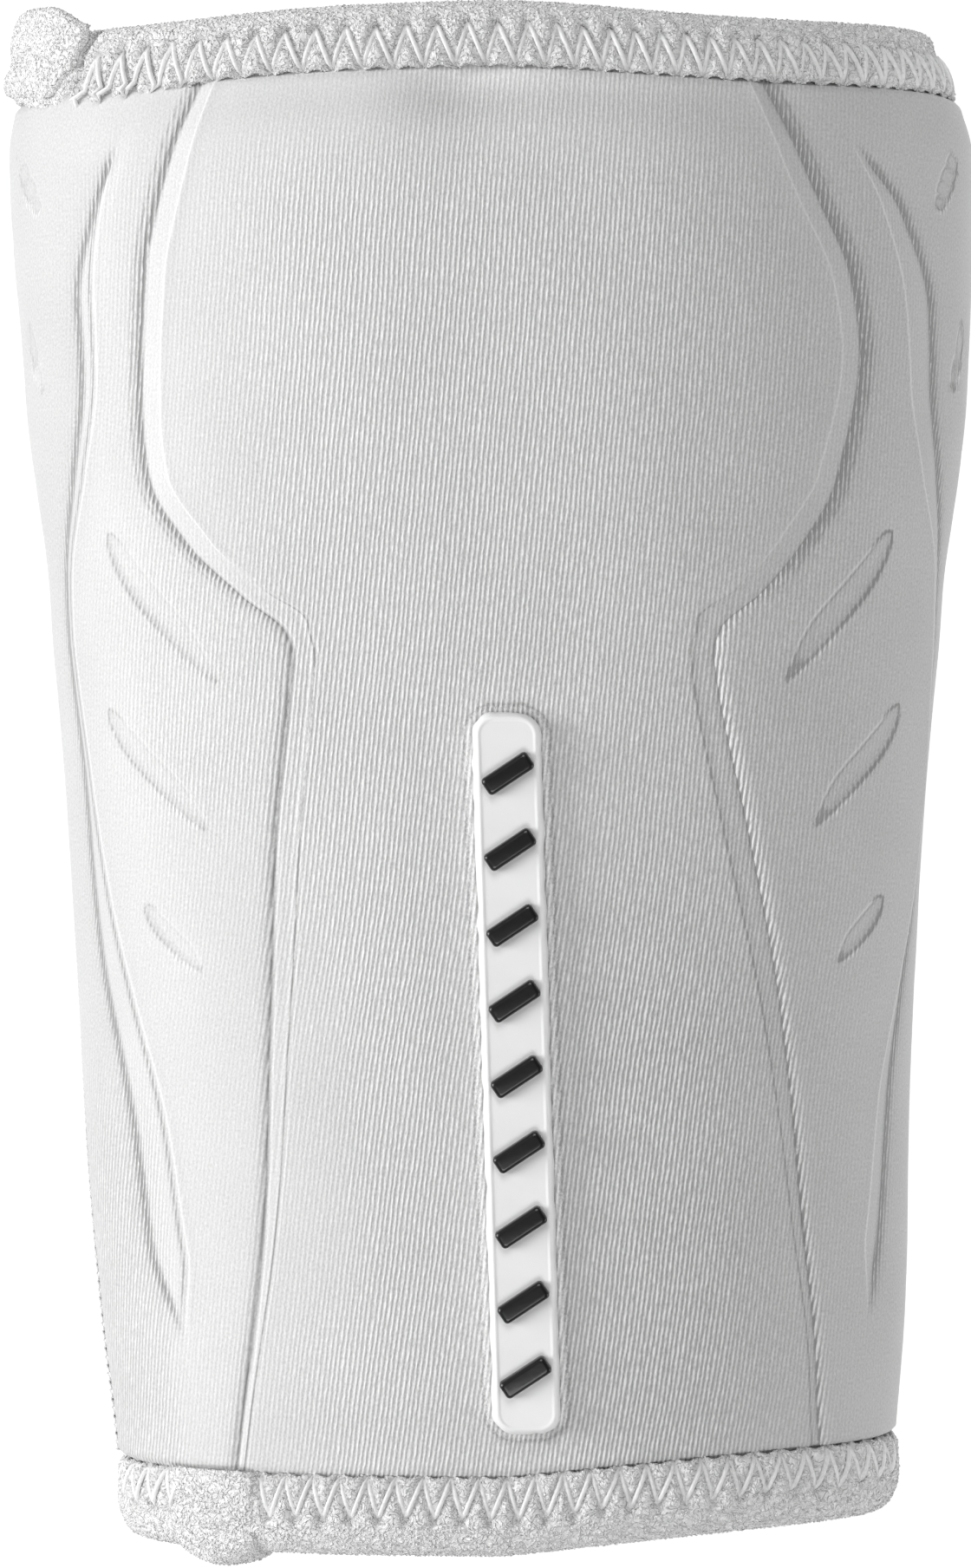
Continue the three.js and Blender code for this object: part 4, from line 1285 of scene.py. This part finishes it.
def zigzagStrands(end):
    # The zigzag's path over the tape's outer face, in strands between its gaps
    reach = tapeReach(end)
    girth = tapeGirth(end)
    table, counted = stitchLine(end)
    corners = foldOutline(reach, tape["clear"], tape["thickness"], tape["crown"])
    line = roundOutline(corners, 400)
    upper = line[line[:, 1] > tape["clear"] + 0.35 * tape["thickness"]]
    upper = upper[np.argsort(upper[:, 0])]
    rng = np.random.default_rng(tape["seed"] + 20 + end)
    strands = [[]]
    steps = 7
    near = tape["edgeInset"]
    far = near + tape["stitchHeight"]
    for k in range(int(round(counted[-1]))):
        shake = rng.normal(0, 0.05, 4)
        places = np.interp([k, k + tape["lean"], k + 1], counted, table)
        start = (places[0], near)
        top = (places[1] + shake[0], far + 2 * shake[1])
        stop = (places[2], near)
        if unsewn(end, np.array(places[1])) > 0.3:
            if strands[-1]:
                strands.append([])
            continue
        for a, b, deeper in ((start, top, 0.22), (top, stop, 0.02)):
            for i in range(steps):
                t = i / steps
                g = a[0] + (b[0] - a[0]) * t
                v = a[1] + (b[1] - a[1]) * t
                x = reach - v
                y = float(np.interp(x, upper[:, 0], upper[:, 1]))
                sunk = 0.28 * (1 - math.sin(math.pi * t) ** 0.5) + deeper
                height = y + float(tapeHeightChange(end, np.array([g]), np.array([v]))[0]) + 0.26 - sunk
                if end == 1:
                    height = height - 0.35 * max(height, 0) * float(ease(g / girth, 0.25, 0.42))
                x = x * (1 + float(reachGrowth(end, np.array(g / girth)))) if x > 0 else x
                strands[-1].append(overEdge(end, np.array([g / girth]), x, height)[0])
    return [strand for strand in strands if len(strand) > 2]


forearmPile = growPile(forearmBinding, "forearm_binding_pile", 11)
wristPile = growPile(wristBinding, "wrist_binding_pile", 12)
print("terry grown,", len(forearmPile.data.polygons), "and", len(wristPile.data.polygons), "faces")
forearmThread = sewThread("forearm_binding_thread", zigzagStrands(1), tape["threadRadius"])
wristThread = sewThread("wrist_binding_thread", zigzagStrands(0), tape["threadRadius"])
print("zigzags sewn")


# Laps of tape, where each binding begins and ends
laps = {
    "forearm": {
        "end": 1,
        "from": -0.56,
        "over": (-2.3, 0.5),
        "clear": 0.55,
        "thick": 1.4,
        "outer": 0.55,  # how much thicker away from its end
        "tuck": 0.04,  # share by which the end leans back inside the fold
        "push": 2.7,
        "square": 0.9,
        "edge": 0.04,
        "crease": 0.5,
        "creaseAt": 0.17,
    },
    "wrist": {
        "end": 0,
        "from": -0.372,
        "to": -0.268,
        "over": (0.2, 0.2),
        "clear": 0.9,
        "thick": 0.95,
        "outer": 0.0,
        "tuck": 0.0,
        "push": 1.3,
        "square": 0.2,
        "edge": 0.16,
        "crease": 0.3,
        "creaseAt": 0.12,
    },
}


def buildLap(name, lap):
    reach = tapeReach(lap["end"])
    count = 64
    steps = 56
    sunk = foldOutline(reach - 0.4, tape["clear"] + 0.2, tape["thickness"] - 0.5, 0.15)
    inner = roundOutline(sunk, count)
    rings = []
    for i in range(steps + 1):
        t = i / steps
        over = lap["over"][0] + (lap["over"][1] - lap["over"][0]) * t
        swollenFold = foldOutline(reach + over, lap["clear"], lap["thick"], 0.3, lap["square"])
        outer = roundOutline(swollenFold, count)
        rim = min(t, 1 - t) / lap["edge"]
        weight = 0.3 + 0.7 * math.sqrt(max(0.0, 1 - (1 - min(rim, 1.0)) ** 2))
        swollen = math.sin(math.pi * t)
        if lap["end"] == 1:
            swollen = (1 - 0.2 * float(ease(t, 0.5, 0.8))) * (1 - 0.95 * float(ease(t, 0.74, 0.98)))
        ring = []
        for k in range(count):
            x, y = inner[k] + (outer[k] - inner[k]) * weight
            x -= lap["push"] * swollen * weight * float(ease(0.45 * reach - x, 0, 0.5 * reach))
            stop = lap.get("to", float(lapEdge(reach - x))) - lap["tuck"] * float(ease(-y, -1.2, 1.0))
            share = lap["from"] + (stop - lap["from"]) * t
            if y > 0:
                fold = math.exp(-(((x - lap["creaseAt"] * reach - 0.6 * (t - 0.5)) / 0.35) ** 2))
                fade = 1 - float(ease(t, 0.72, 0.9)) if lap["end"] == 1 else 1.0
                y -= lap["crease"] * fold * weight * fade
                y += lap["outer"] * weight * (1 - float(ease(t, 0.7, 1.0)))
                y += 0.12 * math.sin(9 * t + 1.3 * x) * weight
            ring.append(overEdge(lap["end"], np.array([share]), x, y)[0])
        rings.append(ring)
    points = np.array(rings).reshape(-1, 3)
    faces = tubeFaces(steps + 1, count)
    faces.append(tuple(reversed(range(count))))
    faces.append(tuple(steps * count + k for k in range(count)))
    made = solidFrom(name, points, faces, terryMaterial)
    setAttribute(made, "pile", np.ones(len(points)))
    return made


forearmLap = buildLap("forearm_tape_lap", laps["forearm"])
wristLap = buildLap("wrist_tape_lap", laps["wrist"])
forearmLapPile = growPile(forearmLap, "forearm_tape_lap_pile", 13)
wristLapPile = growPile(wristLap, "wrist_tape_lap_pile", 14)
print("laps built")


# The sewn seam down the side
seam = {
    "wrist": -0.5,
    "forearm": -0.6,
    "width": 5.0,
    "thickness": 0.6,
    "pitch": 1.73,
    "scallop": 0.5,  # share of the thickness
    "rows": 700,
    "threadRadius": 0.23,
    "threadWidth": 5.3,
    "threadLift": 0.62,
}


def seamShare(along, across):
    girth = outlineAt(along)["girth"]
    return seam["wrist"] + (seam["forearm"] - seam["wrist"]) * along + across / girth


def buildSeam():
    # Shares of the width across, and of the thickness
    profile = [(-0.5, -0.1), (-0.46, 0.55), (-0.25, 0.9), (0.0, 0.8), (0.25, 0.9), (0.46, 0.55), (0.5, -0.1)]
    rows = []
    for along in np.linspace(wristTapeRow, forearmTapeRow, seam["rows"]):
        ring = []
        loop = abs(math.sin(math.pi * along * guard["length"] / seam["pitch"]))
        pulled = 1 - seam["scallop"] * (1 - loop)
        for across, height in profile:
            share = seamShare(along, across * seam["width"] * (0.9 + 0.1 * loop))
            raised = height * seam["thickness"] * (pulled if height > 0 else 1.0)
            ring.append(pointsAt(along, np.array([share]), np.array([raised]))[0])
        rows.append(ring)
    points = np.array(rows).reshape(-1, 3)
    count = len(profile)
    last = (seam["rows"] - 1) * count
    faces = tubeFaces(seam["rows"], count)
    faces.append(tuple(range(count)))
    faces.append(tuple(last + k for k in reversed(range(count))))
    return solidFrom("side_seam_cover", points, faces, threadMaterial)


def seamThreadPoints(shift, width, lift):
    # A thread that crosses the seam to and fro, highest in its middle
    span = (forearmTapeRow - wristTapeRow) * guard["length"]
    count = int(span / seam["pitch"])
    points = []
    for k in range(2 * count):
        hand = 1 if (k + shift) % 2 else -1
        for i in range(5):
            t = i / 5
            across = hand * (1 - 2 * t) * width / 2
            along = wristTapeRow + (k + t) * seam["pitch"] / 2 / guard["length"]
            if along > forearmTapeRow:
                continue
            dome = lift * (0.6 + 0.4 * math.sin(math.pi * t))
            share = seamShare(along, across)
            points.append(pointsAt(along, np.array([share]), np.array([dome]))[0])
    return points


sideSeam = buildSeam()
seamThreads = []
for threadIndex, threadName in enumerate(("side_seam_thread_a", "side_seam_thread_b")):
    crossings = seamThreadPoints(threadIndex, seam["threadWidth"], seam["threadLift"])
    seamThreads.append(sewThread(threadName, [crossings], seam["threadRadius"], 5))
print("seam sewn")


# Badge plate and bars
def seatHeight(x, y):
    # Height of the sleeve's front at a place near its middle
    along = y / guard["length"] + 0.5
    sway = guard["axisSway"] * float(smoothRead(sections, "sway", along))
    distance = x - driftAt(along) - sway
    girth = outlineAt(along)["girth"]
    share = (x - sway) / girth
    height = reliefAt(along, np.array([distance]))
    return pointsAt(along, np.array([share]), height)[0][2]


def badgeSeats():
    # Heights of the cloth along the badge, smoothed over seven places
    runs = np.linspace(-badge["length"] / 2, badge["length"] / 2, 60)
    heights = [seatHeight(badge["offset"] - badgeTilt * run, badgeMiddleY + run) for run in runs]
    smooth = np.convolve(np.pad(heights, 3, mode="edge"), np.ones(7) / 7, mode="valid")
    return runs, smooth


seatRuns, seatHeights = badgeSeats()


def onBadge(run, across, height):
    y = badgeMiddleY + run
    x = badge["offset"] - badgeTilt * run + across
    z = np.interp(run, seatRuns, seatHeights) + badge["clear"] + height
    return np.stack([x, y, z], axis=-1)


def plateHeight(inside):
    # Height of the plate's top by distance inside its outline
    rounded = np.sqrt(np.clip(1 - (1 - np.clip(inside / badge["edgeRound"], 0, 1)) ** 2, 0, 1))
    lip = badge["lipHeight"] * (1 - ease(inside, badge["lipWidth"], badge["lipWidth"] + 0.28))
    return (badge["thickness"] + lip) * rounded


plateSteps = {"corner": 12, "short": 10, "long": 140}
platePoints = 2 * (2 * plateSteps["corner"] + plateSteps["short"] + plateSteps["long"])


def plateOutline(inset):
    # The plate's outline, drawn in by inset, as places across and along it
    corner = badge["corner"]
    halfWidth = badge["width"] / 2
    halfLength = badge["length"] / 2
    corners = [(1, 1), (-1, 1), (-1, -1), (1, -1)]
    inset = np.broadcast_to(inset, (platePoints,))
    line = []
    for k, (sx, sy) in enumerate(corners):
        ahead = corners[(k + 1) % 4]
        centre = np.array([sx * (halfWidth - corner), sy * (halfLength - corner)])
        after = np.array([ahead[0] * (halfWidth - corner), ahead[1] * (halfLength - corner)])
        for step in range(plateSteps["corner"] + 1):
            angle = math.radians(90 * k + 90 * step / plateSteps["corner"])
            spoke = np.array([math.cos(angle), math.sin(angle)])
            line.append(centre + (corner - inset[len(line)]) * spoke)
        steps = plateSteps["long"] if k % 2 else plateSteps["short"]
        for step in range(1, steps):
            line.append(centre + (after - centre) * step / steps + (corner - inset[len(line)]) * spoke)
    return np.array(line)


def buildPlate():
    # Levels from the underside round the ragged edge to the spine along the plate's middle
    halfWidth = badge["width"] / 2
    halfLength = badge["length"] / 2
    count = platePoints
    rng = np.random.default_rng(badge["seed"])
    rough = np.pad(rng.normal(0, 1, count), 2, mode="wrap")
    uneven = np.convolve(rough, [0.2, 0.5, 0.8, 0.5, 0.2], mode="valid")
    insets = [0.05, 0.0] + list(1.15 * (np.arange(1, 17) / 16) ** 1.4)
    levels = []
    for k, inset in enumerate(insets):
        ragged = badge["ragged"] * uneven * max(0.0, 1 - inset / 0.5)
        line = plateOutline(inset + ragged)
        height = -0.25 if k == 0 else max(0.35, float(plateHeight(inset)))
        levels.append(onBadge(line[:, 1], line[:, 0], np.full(count, height)))
    line = plateOutline(insets[-1])
    spine = np.clip(line[:, 1], halfWidth - halfLength, halfLength - halfWidth)
    levels.append(onBadge(spine, 0 * spine, np.full(count, badge["thickness"])))
    faces = tubeFaces(len(levels), count)
    faces.append(tuple(reversed(range(count))))
    return solidFrom("badge_plate_rubber", np.concatenate(levels), faces, badgeMaterial)


def barMesh():
    # One slanted bar with rounded edges, at the origin
    slant = math.radians(badge["barSlant"])
    half = badge["barLength"] / 2
    width = badge["barWidth"] / 2
    rounding = badge["barRound"]
    direction = np.array([math.cos(slant), math.sin(slant)])
    normal = np.array([-math.sin(slant), math.cos(slant)])
    outline = []
    for sx, sy, first in ((1, 1, 0), (-1, 1, 90), (-1, -1, 180), (1, -1, 270)):
        for step in range(6):
            angle = math.radians(first + 90 * step / 5)
            p = sx * (half - rounding) + rounding * math.cos(angle)
            q = sy * (width - rounding) + rounding * math.sin(angle)
            outline.append(direction * p + normal * q)
    outline = np.array(outline)
    count = len(outline)
    levels = []
    for angle in (None, 0, 25, 50, 75, 90):
        inset = 0 if angle is None else rounding * (1 - math.cos(math.radians(angle)))
        top = badge["barHeight"] - rounding
        height = 0 if angle is None else top + rounding * math.sin(math.radians(angle))
        shrink = np.array([1 - inset / half, 1 - inset / width])
        local = np.stack([outline @ direction * shrink[0], outline @ normal * shrink[1]], axis=-1)
        flat = local[:, :1] * direction + local[:, 1:] * normal
        levels.append(np.column_stack([flat, np.full(count, height)]))
    faces = tubeFaces(len(levels), count)
    last = (len(levels) - 1) * count
    faces.append(tuple(last + k for k in range(count)))
    faces.append(tuple(reversed(range(count))))
    return solidFrom("bar_pattern", np.concatenate(levels), faces)


def barTree():
    # One copy of a bar at each vertex of a guide, turned as the guide says
    tree = NodeTree("bars_on_plate", {
        "Bar": ("NodeSocketObject", None),
        "Tilt": ("NodeSocketFloat", 0.0),
        "Material": ("NodeSocketMaterial", None),
    })
    bar = tree.add("GeometryNodeObjectInfo", {}, {"Object": tree.given("Bar")})
    slope = tree.add("GeometryNodeInputNamedAttribute", {"data_type": "FLOAT"}, {"Name": "slope"})
    turn = tree.add("ShaderNodeCombineXYZ", {}, {0: slope.outputs[0], 2: tree.given("Tilt")})
    placed = tree.add(
        "GeometryNodeInstanceOnPoints",
        {},
        {"Points": tree.given("Geometry"), "Instance": bar.outputs["Geometry"], "Rotation": turn.outputs[0]},
    )
    return tree.finish(placed.outputs[0])


def buildBars():
    pattern = barMesh()
    pitch = (badge["length"] - 2 * badge["corner"]) / badge["bars"]
    runs = (np.arange(badge["bars"]) - (badge["bars"] - 1) / 2) * pitch
    places = onBadge(runs, np.zeros(len(runs)), np.full(len(runs), badge["thickness"]))
    data = bpy.data.meshes.new("bar_places")
    data.from_pydata([tuple(p * mm) for p in places], [], [])
    guide = newObject("bar_places", data)
    slopes = (np.interp(runs + 1, seatRuns, seatHeights) - np.interp(runs - 1, seatRuns, seatHeights)) / 2
    setAttribute(guide, "slope", np.arctan(slopes))
    values = {"Bar": pattern, "Tilt": math.radians(badge["tilt"]), "Material": barMaterial}
    made = bakeNodes(guide, barTree(), values, "badge_bars")
    bpy.data.objects.remove(guide)
    bpy.data.objects.remove(pattern)
    return made


plate = buildPlate()
bars = buildBars()
print("badge made")


# Which piece stands for which solid: each goes under the root, and the solids it replaces are hidden
def settle(piece, slotName, *nodes):
    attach(piece, "root")
    if nodes:
        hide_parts(*nodes)


settle(sleeve, "sleeve_fabric", "sleeve")
settle(forearmBinding, "binding_tape", "forearm_binding")
settle(wristBinding, "binding_tape", "wrist_binding")
settle(forearmPile, "binding_tape")
settle(wristPile, "binding_tape")
settle(forearmThread, "seam_thread")
settle(wristThread, "seam_thread")
settle(forearmLap, "binding_tape", "forearm_tape_end")
settle(wristLap, "binding_tape", "wrist_tape_end")
settle(forearmLapPile, "binding_tape")
settle(wristLapPile, "binding_tape")
settle(sideSeam, "seam_thread", "side_seam")
for thread in seamThreads:
    settle(thread, "seam_thread")
settle(plate, "badge_white", "badge_plate")
settle(bars, "badge_black", *["badge_bar_%d" % (i + 1) for i in range(badge["bars"])])


# Floor, lights and camera
studio = {
    "floorSize": 30.0,  # m
    "floorHeight": -0.0003,
    "floorGrey": 0.32,
    "floorGlow": 0.84,
    "world": 0.05,
    "keyPlace": (-0.89, 0.05, 0.36),
    "keySize": 0.45,
    "keyPower": 7.3,
    "topPlaces": [(0.0, 0.8, 1.0), (0.0, -0.8, 1.0)],
    "topSize": 0.6,
    "topPower": 5.95,
    "fillPlace": (0.9, -0.25, 0.1),
    "fillSize": 0.4,
    "fillPower": 2.0,
}


def buildFloor():
    half = studio["floorSize"] / 2
    data = bpy.data.meshes.new("floor")
    signs = ((-1, -1), (1, -1), (1, 1), (-1, 1))
    corners = [(x * half, y * half, studio["floorHeight"]) for x, y in signs]
    data.from_pydata(corners, [], [(0, 1, 2, 3)])
    floor = newObject("floor", data)
    data.materials.append(Shader("floor_white").finish({
        "Base Color": grey(studio["floorGrey"]),
        "Roughness": 0.9,
        "Specular IOR Level": 0.1,
        "Emission Color": grey(1.0),
        "Emission Strength": studio["floorGlow"],
    }))


def aimedLight(name, place, size, power):
    data = bpy.data.lights.new(name, "AREA")
    data.shape = "SQUARE"
    data.size = size
    data.energy = power
    lamp = newObject(name, data)
    lamp.location = place
    lamp.rotation_mode = "QUATERNION"
    lamp.rotation_quaternion = (Vector((0, 0, 0.02)) - Vector(place)).to_track_quat("-Z", "Y")


def buildCamera():
    data = bpy.data.cameras.new("camera")
    view = cameraSetup["imageHeight"] / cameraSetup["pixelsPerMm"]
    data.sensor_width = cameraSetup["sensor"]
    data.lens = cameraSetup["sensor"] * cameraSetup["distance"] / view
    data.clip_start = 0.01
    camera = newObject("camera", data)
    height = cameraSetup["widestHeight"] + cameraSetup["distance"]
    camera.location = (cameraSetup["aimX"] * mm, cameraSetup["aimY"] * mm, height * mm)
    scene.camera = camera


buildFloor()
aimedLight("key", studio["keyPlace"], studio["keySize"], studio["keyPower"])
aimedLight("fill", studio["fillPlace"], studio["fillSize"], studio["fillPower"])
for topIndex, topPlace in enumerate(studio["topPlaces"]):
    aimedLight("top_%d" % (topIndex + 1), topPlace, studio["topSize"], studio["topPower"])
world = bpy.data.worlds.new("studio")
world.use_nodes = True
world.node_tree.nodes["Background"].inputs["Color"].default_value = grey(1.0)
world.node_tree.nodes["Background"].inputs["Strength"].default_value = studio["world"]
scene.world = world
scene.view_settings.view_transform = "Standard"
buildCamera()
print("stage set")
